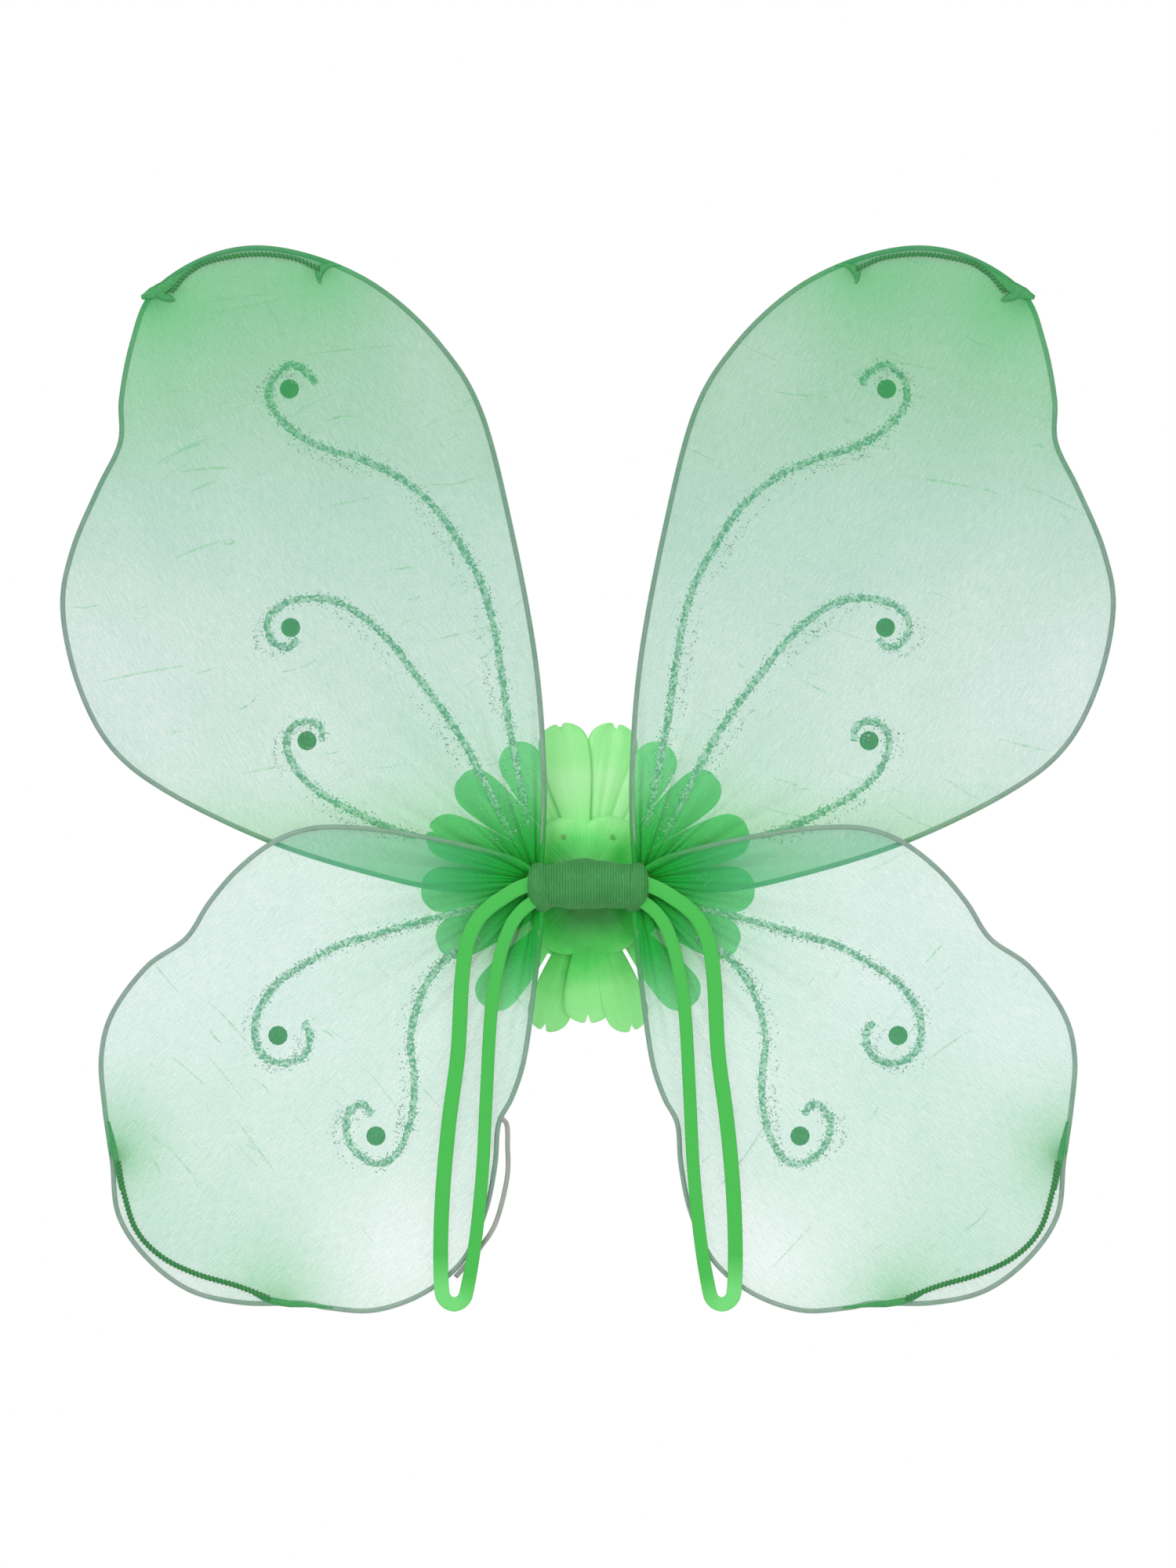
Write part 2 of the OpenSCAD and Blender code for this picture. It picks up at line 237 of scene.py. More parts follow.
def piece(name, points, faces, material, body, smooth=True, mirrored=False):
    """A mesh piece from points in millimetres, turned so that its faces look out, and put on a body when the
    body is given by name.
    """
    points = mm(points)
    if mirrored:
        points = points * (-1.0, 1.0, 1.0)
    faces = faces.tolist() if isinstance(faces, np.ndarray) else faces
    triangles = np.array([(f[0], f[i], f[i + 1]) for f in faces for i in range(1, len(f) - 1)])
    corners = points[triangles]
    volume = np.einsum("ij,ij->i", corners[:, 0], np.cross(corners[:, 1], corners[:, 2])).sum()
    if volume < 0:
        faces = [f[::-1] for f in faces]
    mesh = bpy.data.meshes.new(name)
    mesh.from_pydata(points.tolist(), [], faces)
    mesh.polygons.foreach_set("use_smooth", [smooth] * len(faces))
    mesh.materials.append(material)
    made = bpy.data.objects.new(name, mesh)
    bpy.context.scene.collection.objects.link(made)
    if isinstance(body, str):
        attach(made, body)
    else:
        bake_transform(made)
    return made


def set_uv(made, u, v):
    """Gives a piece a UV map from two numbers for each of its points."""
    mesh = made.data
    corner = np.empty(len(mesh.loops), int)
    mesh.loops.foreach_get("vertex_index", corner)
    uv = np.stack([np.asarray(u, float).ravel()[corner], np.asarray(v, float).ravel()[corner]], 1)
    mesh.uv_layers.new(name="UVMap").data.foreach_set("uv", uv.ravel())


def new_material(name, colour, roughness, sheen=0.0):
    """A Principled material, with its tree, its shader and its places to build on."""
    material = bpy.data.materials.new(name)
    material.use_nodes = True
    shader = material.node_tree.nodes["Principled BSDF"]
    fit(shader, {"Base Color": linear(colour), "Roughness": roughness, "Sheen Weight": sheen})
    material.diffuse_color = linear(colour)
    return material, material.node_tree, shader, add_node(material.node_tree, "TexCoord")


# Braided elastic: matt polyester yarns over rubber, in about ten ribs along the band
elastic, tree, shader, place = new_material("braided_elastic", "#4fc75b", 0.62, sheen=0.25)
split = add_node(tree, "SeparateXYZ", {"Vector": place.outputs["UV"]})
ribs = add_node(tree, "Math", {"operation": "MULTIPLY", 1: 2 * np.pi * 9, 0: split.outputs["X"]})
ribs = add_node(tree, "Math", {"operation": "SINE", 0: ribs})
picks = add_node(tree, "Math", {"operation": "MULTIPLY", 1: 2 * np.pi / 1.1, 0: split.outputs["Y"]})
picks = add_node(tree, "Math", {"operation": "SINE", 0: picks})
weave = add_node(tree, "Math", {"operation": "MULTIPLY", 0: ribs, 1: picks})
ramp = add_node(tree, "MapRange", {"From Min": -1.0, "From Max": 1.0, "Value": weave})
tint = add_node(tree, "Mix", {
    "data_type": "RGBA", "Factor": ramp, 6: linear("#27a934"), 7: linear("#47c651")})
# painted highlight: from 166 to 203 mm along the band, where the loop turns at the bottom and faces up, it
# is mixed towards a lighter green
stretch = add_node(tree, "MapRange", {"From Min": 166.0, "From Max": 180.0, "Value": split.outputs["Y"]})
highlight_fade = add_node(tree, "MapRange", {"From Min": 203.0, "From Max": 190.0, "Value": split.outputs["Y"]})
turned = add_node(tree, "Math", {"operation": "MULTIPLY", 0: stretch, 1: highlight_fade})
elastic_with_painted_highlight = add_node(tree, "Mix", {
    "data_type": "RGBA", "Factor": turned, 6: tint.outputs[2], 7: linear("#6ed873")})
bump = add_node(tree, "Bump", {"Strength": 0.35, "Distance": 0.0002, "Height": weave})
fit(shader, {"Base Color": elastic_with_painted_highlight.outputs[2], "Normal": bump})

loop_line = even_line(LOOP_ROUTE, 1.5)
loop_along = length_along(loop_line)
narrowing = np.interp(loop_along, [0.0, 0.5 * loop_along[-1], 0.6 * loop_along[-1]],
                      [ELASTIC_W, ELASTIC_W, ELASTIC_NARROW])
loop_profile = ellipse(1.0, ELASTIC_T, LOOP_SIDES, power=0.6)[None] * np.stack(
    [narrowing, np.ones_like(narrowing)], 1)[:, None, :]
for side, sign in SIDES.items():
    strap_band = piece(
        f"arm_loop_{side}", swept(loop_line, ELASTIC_Y, loop_profile),
        tube_faces(len(loop_line), LOOP_SIDES), elastic,
        (f"lower_{side}_wing", f"{side}_loop",
         mm((sign * 30, ELASTIC_Y, -5)), mm((sign * 38, ELASTIC_Y, -32))),
        mirrored=sign < 0)
    set_uv(strap_band, np.tile(0.5 + loop_profile[0, :, 0] / ELASTIC_W, (len(loop_line), 1)),
           np.repeat(loop_along[:, None], LOOP_SIDES, 1))
    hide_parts(f"strap_{side}", f"strap_{side}_root")
    route = np.stack([sign * loop_line[:, 0], np.full(len(loop_line), ELASTIC_Y), loop_line[:, 1]], 1)

# ---------------------------------------------------------------- core of the binding
# The straight ends of the four frames lie side by side and are wound with cloth tape.
# Both stay as the frame has them, with drawn steel and cotton tape for their finish.

# Drawn steel: bright metal, with drawing scratches 0.25 mm apart that run along the wire
steel, tree, shader, place = new_material("drawn_steel_wire", "#b9bcbb", 0.3)
grain = add_node(tree, "Mapping", {"Scale": (40.0, 4000.0, 4000.0), "Vector": place.outputs["Object"]})
scratches = add_node(tree, "TexNoise", {"Scale": 1.0, "Detail": 3.0, "Vector": grain})
rough = add_node(tree, "MapRange", {"To Min": 0.22, "To Max": 0.42, "Value": scratches.outputs["Fac"]})
fit(shader, {"Metallic": 1.0, "Roughness": rough})

# Cotton cloth tape: matt off-white, with woven threads 0.5 mm apart
tape, tree, shader, place = new_material("cotton_cloth_tape", "#dfe2dc", 0.85)
threads = add_node(tree, "TexWave", {"Scale": 600.0, "Distortion": 1.5, "Vector": place.outputs["Object"]})
bump = add_node(tree, "Bump", {"Strength": 0.3, "Distance": 0.0002, "Height": threads.outputs["Fac"]})
fit(shader, {"Normal": bump})


def dress(node, material):
    """Gives a node of the frame its finish."""
    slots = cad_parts[node].data.materials
    slots.clear()
    slots.append(material)


dress("wire_tails", steel)
dress("core_tape", tape)

# ---------------------------------------------------------------- wing frames
# Four loops of 2 mm steel wire bent to the wings' outlines. Their ends run into the
# binding. On the lower left frame the wire is lapped, and one bare end stands outside.
WIRE_R = 1.0
WIRE_SIDES = 12
SLEEVE_R = 1.16
PLANE_Y = {"upper": 1.6, "lower": -1.6}
EDGE = {
    "upper": [
        (20.5, 4), (19, 11), (18, 45), (21.5, 92), (31.5, 146), (44, 194), (61, 221.5), (84, 243),
        (109, 255.5), (135, 260.5), (158, 255.5), (178, 241.5), (186, 222), (190.5, 199),
        (191, 181), (200, 162), (210.5, 137), (214.5, 113), (208, 82), (194, 56),
        (170, 37.5), (128, 17.5), (86, 4.5), (56, -1.5), (32, 0.5), (22, 2),
    ],
    "lower": [
        (20.5, -4), (19, -12), (22, -41), (26, -70), (31, -86), (36.5, -97), (38, -114),
        (42, -133), (51, -152.5), (67, -166), (87, -173), (106, -172), (117, -170),
        (140, -170), (162, -165), (180, -151.5), (191.5, -134), (194, -112), (197, -91),
        (198.5, -70), (194, -52), (180, -33), (164, -21.5), (154.5, -7), (143, 6.5),
        (128, 18), (112, 23.5), (92, 23.5), (70, 20.5), (50, 16.5), (32, 11.5), (22, 6),
    ],
}
LAP_EDGE = [(36.5, -94), (33.2, -97), (32.8, -106), (33, -119), (37.5, -137), (44, -147.5), (54, -159.5)]
NECK_START, NECK_END = (21, 0, 2), (27, 0, 5)

# Steel wire under nylon: a grey-green satin line, cloudy in patches about 8 mm long
covered_wire, tree, shader, place = new_material("nylon_covered_wire", "#64806f", 0.42)
cloud = add_node(tree, "TexNoise", {"Scale": 120.0, "Detail": 4.0, "Vector": place.outputs["Object"]})
tint = add_node(tree, "Mix", {
    "data_type": "RGBA", "Factor": cloud.outputs["Fac"], 6: linear("#80887f"), 7: linear("#aab0a9")})
fit(shader, {"Base Color": tint.outputs[2]})

wire_profile = ellipse(2 * WIRE_R, 2 * WIRE_R, WIRE_SIDES)


def neck_blend(wing, side, sign):
    """Bodies of a wing's piece: a lower wing's is that wing, an upper wing's is the binding and the wing,
    with two points of the neck.
    """
    if wing == "lower":
        return f"lower_{side}_wing"
    return ("binding", f"upper_{side}_wing",
            mm((sign * NECK_START[0], *NECK_START[1:])), mm((sign * NECK_END[0], *NECK_END[1:])))


for side, sign in SIDES.items():
    for wing in ("upper", "lower"):
        line = even_line(EDGE[wing], 2.0)
        wire = piece(f"{wing}_{side}_frame_wire", swept(line, PLANE_Y[wing], wire_profile),
                     tube_faces(len(line), WIRE_SIDES), covered_wire,
                     neck_blend(wing, side, sign), mirrored=sign < 0)
        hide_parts(f"{wing}_{side}_wire", f"{wing}_{side}_neck")
lap_line = even_line(LAP_EDGE, 2.0)
lap_wire = piece("lower_left_lapped_wire_end", swept(lap_line, PLANE_Y["lower"], wire_profile),
                 tube_faces(len(lap_line), WIRE_SIDES), covered_wire, "lower_left_wing", mirrored=True)
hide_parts("lower_left_wire_end")

# ---------------------------------------------------------------- nylon sleeves
# A knitted nylon stocking is pulled over each frame, so each wing is two sheer layers
# that close round the wire. The open end is gathered into pleats under the binding.
MOUTH = {"upper": ((21, 6), (24, 2)), "lower": ((21, -6), (23, 5))}
LAYER_GAP = 0.35
PLEAT_REACH = 24.0
PLEAT_H = 0.9
PLEAT_SHADE = 0.75
CLEARNESS = 0.92  # share of the red seen over white that passes through both layers
LEAST_MEETING = 6.0  # degrees between the threads and the rim
SPREAD = 90  # rim points over which the threads' tilt is evened out
FRONT_STEPS = 92
RIM_STEPS = 7
SPOTS = {
    # place, reach, strength and tone: deeper where the nylon is gathered in, paler where taut
    "upper": [((176, 240), 24, 0.62, "#5fc878"), ((108, 249), 20, 0.6, "#62c67c"),
              ((118, 262), 60, 0.18, "#74c489"), ((178, 244), 7, 0.9, "#2f8c47"),
              ((109, 252), 4, 0.8, "#3b9a52"), ((70, 215), 34, 0.4, "#c6ddd3"),
              ((190, 200), 26, 0.35, "#8ccf9f"), ((200, 75), 55, 0.5, "#dfeaea")],
    "lower": [((26, -24), 15, 0.8, "#1f9f3c"), ((194, -108), 20, 0.6, "#58c473"),
              ((127, -170), 22, 0.6, "#5cc878"), ((150, -118), 60, 0.16, "#a5dcb6"),
              ((193, -110), 5, 0.7, "#3b9f55"), ((125, -171), 5, 0.6, "#4fae66"),
              ((78, -150), 34, 0.75, "#f2faf8"), ((105, 8), 30, 0.4, "#e8f3f2"),
              ((185, -50), 40, 0.25, "#e8f3f2")],
}
HEIGHT_TONES = {
    # height, and the colour of the stretched nylon over white at that height
    "upper": [(260, "#90c79e"), (235, "#95c9a3"), (195, "#a5cfb3"), (157, "#b5d7c6"),
              (118, "#c1ddd0"), (80, "#c8e1d6"), (45, "#cbe4d8"), (15, "#b0deb9"), (-5, "#86cf92")],
    "lower": [(25, "#cfe9dc"), (-5, "#d9ece6"), (-60, "#d9ede7"), (-110, "#d5ebe2"),
              (-140, "#d3eae0"), (-175, "#cfe9dc")],
}
# deeper green towards the root, where the nylon is gathered in, and darkest next to the binding as painted
# shade; each: tone, reach, power, strength
ROOT_TONES = [("#86d995", 62.0, 2.0, 0.42), ("#16a837", 31.0, 2.5, 1.0)]
HEM_TONES = {"upper": ("#62a87a", 0.5), "lower": ("#e6f1ee", 0.6)}
TOE_LINE = {
    "upper": [(170, 242.5), (163, 250.3), (154, 255), (137, 257.8), (121, 256.4), (110, 252)],
    "lower": [(191.5, -113), (189, -126), (184, -140.5), (174, -151), (160, -158), (143, -163), (130, -168)],
}


def mixed(a, b, amount):
    """Colours a and b mixed by amount, point by point."""
    return a + (b - a) * np.clip(amount, 0, 1)[:, None]


def beyond(line, x, z):
    """How far points x, z lie beyond a line, on its outer side, fading to 0 past its ends."""
    rows = even_line(line, 2.0)
    outer = normals_of(rows)
    outer *= np.sign(np.sum(outer * rows, axis=1))[:, None]
    best = np.zeros(len(x))
    near = np.full(len(x), 1e9)
    for place, out in zip(rows, outer):
        away = (x - place[0]) ** 2 + (z - place[1]) ** 2
        closer = away < near
        near = np.where(closer, away, near)
        best = np.where(closer, (x - place[0]) * out[0] + (z - place[1]) * out[1], best)
    inside_ends = np.exp(-np.clip(np.sqrt(near) - np.abs(best) - 1.0, 0, None))
    return np.clip(best / 1.2, 0, 1) * inside_ends


def tone_at(wing, x, z):
    """Linear colour over white of the nylon at points x, z: by height, spots, root and toe hem."""
    heights, tones = zip(*sorted(HEIGHT_TONES[wing]))
    table = np.array([linear(t)[:3] for t in tones])
    colour = np.stack([np.interp(z, heights, table[:, k]) for k in range(3)], 1)
    for (sx, sz), reach, strength, tone in SPOTS[wing]:
        spot = strength * np.exp(-(((x - sx) ** 2 + (z - sz) ** 2) / reach ** 2) ** 0.8)
        colour = mixed(colour, np.array(linear(tone)[:3]), spot)
    from_root = np.hypot(x - 22, z)
    # painted shade next to the binding, over the gathered nylon's own deeper green
    for tone, reach, power, strength in ROOT_TONES:
        near_root = strength * np.exp(-(from_root / reach) ** power)
        colour = mixed(colour, np.array(linear(tone)[:3]), near_root)
    tone, strength = HEM_TONES[wing]
    return mixed(colour, np.array(linear(tone)[:3]), strength * beyond(TOE_LINE[wing], x, z))


def pleats(angle, seed):
    """Uneven pleats fanning out of the gather: sines of the angle with chance phases."""
    phase = np.random.default_rng(seed).uniform(0, 2 * np.pi, 4)
    return (0.40 * np.sin(19 * angle + phase[0]) + 0.30 * np.sin(37 * angle + phase[1])
            + 0.35 * np.sin(61 * angle + phase[2]) + 0.20 * np.sin(83 * angle + phase[3]))


def columns(mouth, rim, reach, turning):
    """Threads from the mouth to the rim: Hermite curves, straight unless the rim folds back.

    Each leaves the mouth in order of angle and meets the rim at no less than LEAST_MEETING.
    """
    chord = rim - mouth
    span = np.linalg.norm(chord, axis=1)
    way = np.sign(turning)
    heading = way * np.unwrap(np.arctan2(chord[:, 1], chord[:, 0]))
    along = np.gradient(rim, axis=0)
    edge = way * np.arctan2(along[:, 1], along[:, 0])
    lead = (edge - heading + np.pi) % (2 * np.pi) - np.pi
    need = np.clip((span - 25) / 40, 0, 1) * np.clip(np.radians(LEAST_MEETING) - lead, 0, 0.8)
    spread = np.convolve(np.pad(need, SPREAD, mode="edge"), np.hanning(2 * SPREAD + 1), mode="valid")
    tilt = need.max() * spread / max(spread.max(), 1e-9)
    starts, ends = heading + tilt, heading - tilt
    t = reach[:, None, None]
    leave = np.stack([np.cos(way * starts), np.sin(way * starts)], 1) * span[:, None]
    arrive = np.stack([np.cos(way * ends), np.sin(way * ends)], 1) * span[:, None]
    return ((2 * t ** 3 - 3 * t ** 2 + 1) * mouth + (t ** 3 - 2 * t ** 2 + t) * leave
            + (3 * t ** 2 - 2 * t ** 3) * rim + (t ** 3 - t ** 2) * arrive)


# Sheer knitted nylon, 15 denier, stretched: its dye, with painted shade and highlight on the pleats
# and painted shade next to the binding, and how much it covers are stored on the mesh, and its UV map
# runs across and along the tube in metres. The knit's wales are 0.4 mm apart, drawn 0.8 mm apart to
# show, and a few pulled threads cross them.
nylon, tree, shader, place = new_material("sheer_knitted_nylon", "#8ccfa6", 0.55, sheen=0.3)
dye = add_node(tree, "Attribute", {"attribute_name": "dye"})
clear = add_node(tree, "Attribute", {"attribute_name": "clear"})


def knit_noise(across_mm, along_mm, detail, distortion=0.0):
    """Noise on the tube's own UV, with features of that size across and along the knit."""
    size = add_node(tree, "Mapping", {
        "Scale": (1000 / across_mm, 1000 / along_mm, 1.0), "Vector": place.outputs["UV"]})
    return add_node(tree, "TexNoise", {
        "Scale": 1.0, "Detail": detail, "Distortion": distortion, "Vector": size})


wales = knit_noise(0.8, 5.0, 2.0)
loops = knit_noise(0.9, 0.9, 1.0)
cloud = knit_noise(30.0, 60.0, 4.0)
pulls = knit_noise(26.0, 3.0, 2.0, 0.8)
scratches = knit_noise(2.2, 42.0, 1.0, 0.3)


def clearer(noise, amount, low=0.0, high=1.0):
    """How much light gets through: noise from low to high gives 1 - amount to 1 + amount."""
    return add_node(tree, "MapRange", {
        "From Min": low, "From Max": high, "To Min": 1 - amount, "To Max": 1 + amount,
        "Value": noise.outputs["Fac"]})


def darker(noise, amount, low, high):
    """A factor of 1 below low, falling to 1 - amount above high."""
    return add_node(tree, "MapRange", {
        "From Min": low, "From Max": high, "To Min": 1.0, "To Max": 1 - amount,
        "Value": noise.outputs["Fac"]})


through = clear.outputs["Fac"]
for factor in (clearer(wales, 0.10, 0.25, 0.75), clearer(loops, 0.09, 0.25, 0.75),
               clearer(cloud, 0.05, 0.3, 0.7), darker(pulls, 0.30, 0.69, 0.80),
               darker(scratches, 0.16, 0.72, 0.84)):
    through = add_node(tree, "Math", {"operation": "MULTIPLY", 0: through, 1: factor})
alpha = add_node(tree, "Math", {"operation": "SUBTRACT", "use_clamp": True, 0: 1.0, 1: through})
fit(shader, {"Base Color": dye.outputs["Color"], "Alpha": alpha})
# where the dye is deep the gathered nylon is dull, so it shines only as much as it is clear
for socket, most in (("Sheen Weight", 0.36), ("Specular IOR Level", 0.6)):
    shine = add_node(tree, "Math", {"operation": "MULTIPLY", 1: most, 0: clear.outputs["Fac"]})
    fit(shader, {socket: shine})

for side, sign in SIDES.items():
    for number, wing in enumerate(("upper", "lower")):
        rim = even_line(EDGE[wing], 1.7)
        outward = normals_of(rim)
        turning = np.sum(rim[:-1, 0] * rim[1:, 1] - rim[1:, 0] * rim[:-1, 1])
        outward = outward * (-1.0 if turning > 0 else 1.0)
        way = length_along(rim) / length_along(rim)[-1]
        low, high = (np.array(p, float) for p in MOUTH[wing])
        mouth = low + (high - low) * way[:, None]
        steps = np.linspace(0, 1, FRONT_STEPS)
        reach = steps - 0.125 * np.sin(2 * np.pi * steps)
        flat = columns(mouth, rim, reach, turning)
        from_rim = (1 - reach)[:, None] * np.linalg.norm(rim - mouth, axis=1)[None]
        from_mouth = reach[:, None] * np.linalg.norm(rim - mouth, axis=1)[None]
        half_gap = LAYER_GAP + (SLEEVE_R - LAYER_GAP) * np.exp(-from_rim / 9.0)
        angle = np.arctan2(flat[..., 1] - mouth[None, :, 1], flat[..., 0] - mouth[None, :, 0])
        angle[0] = angle[1]
        folds = pleats(angle, 11 + number) * np.exp(-from_mouth / PLEAT_REACH)
        folds *= 1 - np.exp(-from_rim / 4.0)
        layers = []
        for face in (-1.0, 1.0):
            height = PLANE_Y[wing] + face * half_gap + PLEAT_H * folds
            layers.append(np.stack([flat[..., 0], height, flat[..., 1]], -1))
        turn = np.linspace(-np.pi / 2, np.pi / 2, RIM_STEPS + 2)[1:-1, None]
        wrap = np.stack([
            rim[None, :, 0] + SLEEVE_R * np.cos(turn) * outward[None, :, 0],
            PLANE_Y[wing] + SLEEVE_R * np.sin(turn) + 0 * rim[None, :, 0],
            rim[None, :, 1] + SLEEVE_R * np.cos(turn) * outward[None, :, 1],
        ], -1)
        sheet_points = np.concatenate([layers[0], wrap, layers[1][::-1]], 0)
        rows, cols = sheet_points.shape[:2]
        faces = grid_faces(rows, cols, wrap_rows=True).tolist()
        for end in (0, cols - 1):
            for i in range(rows // 2 - 1):
                cap = [i * cols + end, (i + 1) * cols + end,
                       (rows - 2 - i) * cols + end, (rows - 1 - i) * cols + end]
                faces.append(cap if end == 0 else cap[::-1])
        sleeve = piece(f"{wing}_{side}_nylon_sleeve", sheet_points.reshape(-1, 3), faces, nylon,
                       neck_blend(wing, side, sign), mirrored=sign < 0)
        shown = tone_at(wing, sheet_points[..., 0].ravel(), sheet_points[..., 2].ravel())
        # painted shade in the valleys of the folds, where more nylon also lies behind, and a painted
        # highlight on their crests
        valley = np.concatenate([folds, np.zeros((RIM_STEPS, cols)), folds[::-1]], 0).ravel()
        shown = shown * (1 + PLEAT_SHADE * np.clip(valley, -1, 0) + 0.2 * np.clip(valley, 0, 1))[:, None]
        both_layers = np.clip(CLEARNESS * shown[:, 0], 0.02, 0.9)
        colour = np.clip((shown - both_layers[:, None]) / (1 - both_layers[:, None]), 0.01, 0.95)
        mesh = sleeve.data
        mesh.attributes.new("dye", "FLOAT_COLOR", "POINT").data.foreach_set(
            "color", np.concatenate([colour, np.ones((len(colour), 1))], 1).ravel())
        mesh.attributes.new("clear", "FLOAT", "POINT").data.foreach_set("value", np.sqrt(both_layers))
        axis = np.radians(62 if wing == "upper" else -45)
        x, z = sheet_points[..., 0] * 0.001, sheet_points[..., 2] * 0.001
        layer = np.where(np.arange(rows) < rows // 2, 0.0, 0.5)[:, None]
        set_uv(sleeve, z * np.cos(axis) - x * np.sin(axis) + layer,
               x * np.cos(axis) + z * np.sin(axis) + 3 * (sign + 1))
        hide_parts(f"{wing}_{side}_nylon")
        width, tall = np.ptp(rim, axis=0) * 0.001

# ---------------------------------------------------------------- toe seams
# The toe of each stocking is closed by an overlocked seam: a padded ridge with thread
# loops over it. Both ends of the seam are puckered into a small bunch of nylon.
STITCH_STEP = 1.7
STITCH_REACH = 0.62
STITCH_LEAN = 0.6
RIDGE_W, RIDGE_H = {"upper": 1.6, "lower": 1.9}, 0.9
SEAM_OUT = 1.35
TUCK_OUT = 0.75
TUCKS = {
    # tapered tucks of nylon at the ends of the seams: each point has its place and the width there
    "upper": [
        [(182.4, 240.2, 1.6), (178, 241.8, 4.6), (171.5, 245.2, 4.6), (165, 249.8, 3.0),
         (157, 254.2, 1.4)],
        [(178, 243, 1.2), (174, 241, 3.4), (170.5, 239.6, 2.6), (168.6, 239.2, 0.8)],
        [(101, 253.2, 0.8), (105.5, 253.4, 2.2), (109, 251.6, 3.6), (109.8, 248.6, 2.4),
         (109.4, 246, 0.8)],
    ],
    "lower": [
        [(195.4, -96, 0.8), (193.8, -104, 1.9), (192.6, -111, 2.3), (191.6, -118, 1.6),
         (190.6, -124, 0.8)],
        [(136, -166.6, 1.0), (130, -168.8, 2.4), (123, -170.2, 2.6), (114, -170.9, 1.8),
         (104, -172, 0.8)],
    ],
}

# Polyester overlock thread: a tight matt twist of deep green, one turn each 0.35 mm
thread, tree, shader, place = new_material("polyester_overlock_thread", "#2f9a48", 0.6, sheen=0.2)
twist = add_node(tree, "TexWave", {"Scale": 900.0, "Distortion": 2.0, "Vector": place.outputs["Object"]})
tint = add_node(tree, "Mix", {
    "data_type": "RGBA", "Factor": twist.outputs["Fac"], 6: linear("#0d6424"), 7: linear("#21883a")})
bump = add_node(tree, "Bump", {"Strength": 0.4, "Distance": 0.0001, "Height": twist.outputs["Fac"]})
fit(shader, {"Base Color": tint.outputs[2], "Normal": bump})


def stack(parts):
    """Joins several (points, faces) into one pair."""
    points, faces, count = [], [], 0
    for part_points, part_faces in parts:
        points.append(np.asarray(part_points).reshape(-1, 3))
        faces += [[i + count for i in f] for f in part_faces]
        count += len(points[-1])
    return np.vstack(points), faces


def stitch(at, along, side_way, y, width):
    """One thread loop over the ridge: an arch across it, leaning forward, as a thin tube."""
    t = np.linspace(0, np.pi, 7)
    arch = (at[None] + np.outer(np.cos(t) * width * STITCH_REACH, side_way)
            + np.outer(np.cos(t) * STITCH_LEAN, along))
    lift = y - np.sin(t) * RIDGE_H * 0.8
    return swept(arch, lift, ellipse(0.75, 0.55, 6)), tube_faces(7, 6)


# Nylon drawn up by the seam: the wing's own knit, many layers deep, so matt and solid green,
# with creases 1.4 mm apart
gathered, tree, shader, place = new_material("gathered_nylon", "#3c9652", 0.65, sheen=0.1)
creases = add_node(tree, "TexNoise", {"Scale": 700.0, "Detail": 3.0, "Vector": place.outputs["Object"]})
tint = add_node(tree, "Mix", {
    "data_type": "RGBA", "Factor": creases.outputs["Fac"], 6: linear("#1f7a38"), 7: linear("#4da965")})
fit(shader, {"Base Color": tint.outputs[2]})


def tuck(route, y):
    """A tapered tuck: a flat ellipse carried along its route, with ridges that run along it."""
    line = even_line(route, 0.5)
    a = 2 * np.pi * np.arange(24) / 24
    ridged = 1 + 0.12 * np.sin(7 * a[None] + 0.25 * np.arange(len(line))[:, None])
    profile = np.stack([np.cos(a) * ridged * line[:, 2:] / 2,
                        np.sin(a) * ridged * (0.35 + 0.12 * line[:, 2:])], -1)
    return swept(line[:, :2], y, profile), tube_faces(len(line), 24)


for side, sign in SIDES.items():
    for wing in ("upper", "lower"):
        seam_y = PLANE_Y[wing] - SEAM_OUT
        ridge = even_line(TOE_LINE[wing], 1.0)
        places = even_line(TOE_LINE[wing], STITCH_STEP)
        along = np.gradient(places, axis=0)
        along /= np.linalg.norm(along, axis=1)[:, None]
        across = normals_of(places)
        width = RIDGE_W[wing]
        parts = [(swept(ridge, seam_y, ellipse(width, RIDGE_H, 12)), tube_faces(len(ridge), 12))]
        parts += [stitch(*stitch_at, seam_y, width) for stitch_at in zip(places, along, across)]
        ridge_faces = len(parts[0][1])
        seam = piece(f"{wing}_{side}_toe_seam_stitching", *stack(parts), thread,
                     f"{wing}_{side}_wing", mirrored=sign < 0)
        seam.data.materials.append(gathered)
        on_ridge = (np.arange(len(seam.data.polygons)) < ridge_faces).astype(np.int32)
        seam.data.polygons.foreach_set("material_index", on_ridge)
        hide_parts(f"{wing}_{side}_toe_seam")
        folded = [tuck(route, PLANE_Y[wing] - TUCK_OUT) for route in TUCKS[wing]]
        tucks = piece(f"{wing}_{side}_toe_tucks", *stack(folded), gathered,
                      f"{wing}_{side}_wing", mirrored=sign < 0)

# ---------------------------------------------------------------- pulled threads
# Here and there a thread of the knit is pulled, and shows as a short darker stroke across
# the wales. They are part of the nylon, and lie on the near layer.
PULLS = {"upper": 30, "lower": 18}
PULL_WAY = {"upper": -14.0, "lower": 48.0}
SHORTEST_PULL, LONGER_PULL = 5, 32

# A pulled thread: the same nylon bunched to a faint strand, which comes and goes each 2.4 mm
pulled, tree, shader, place = new_material("pulled_nylon_thread", "#63d07c", 0.6)
broken = add_node(tree, "TexNoise", {"Scale": 420.0, "Detail": 2.0, "Vector": place.outputs["Object"]})
alpha = add_node(tree, "MapRange", {
    "From Min": 0.35, "From Max": 0.65, "To Min": 0.04, "To Max": 0.27, "Value": broken.outputs["Fac"]})
fit(shader, {"Alpha": alpha})


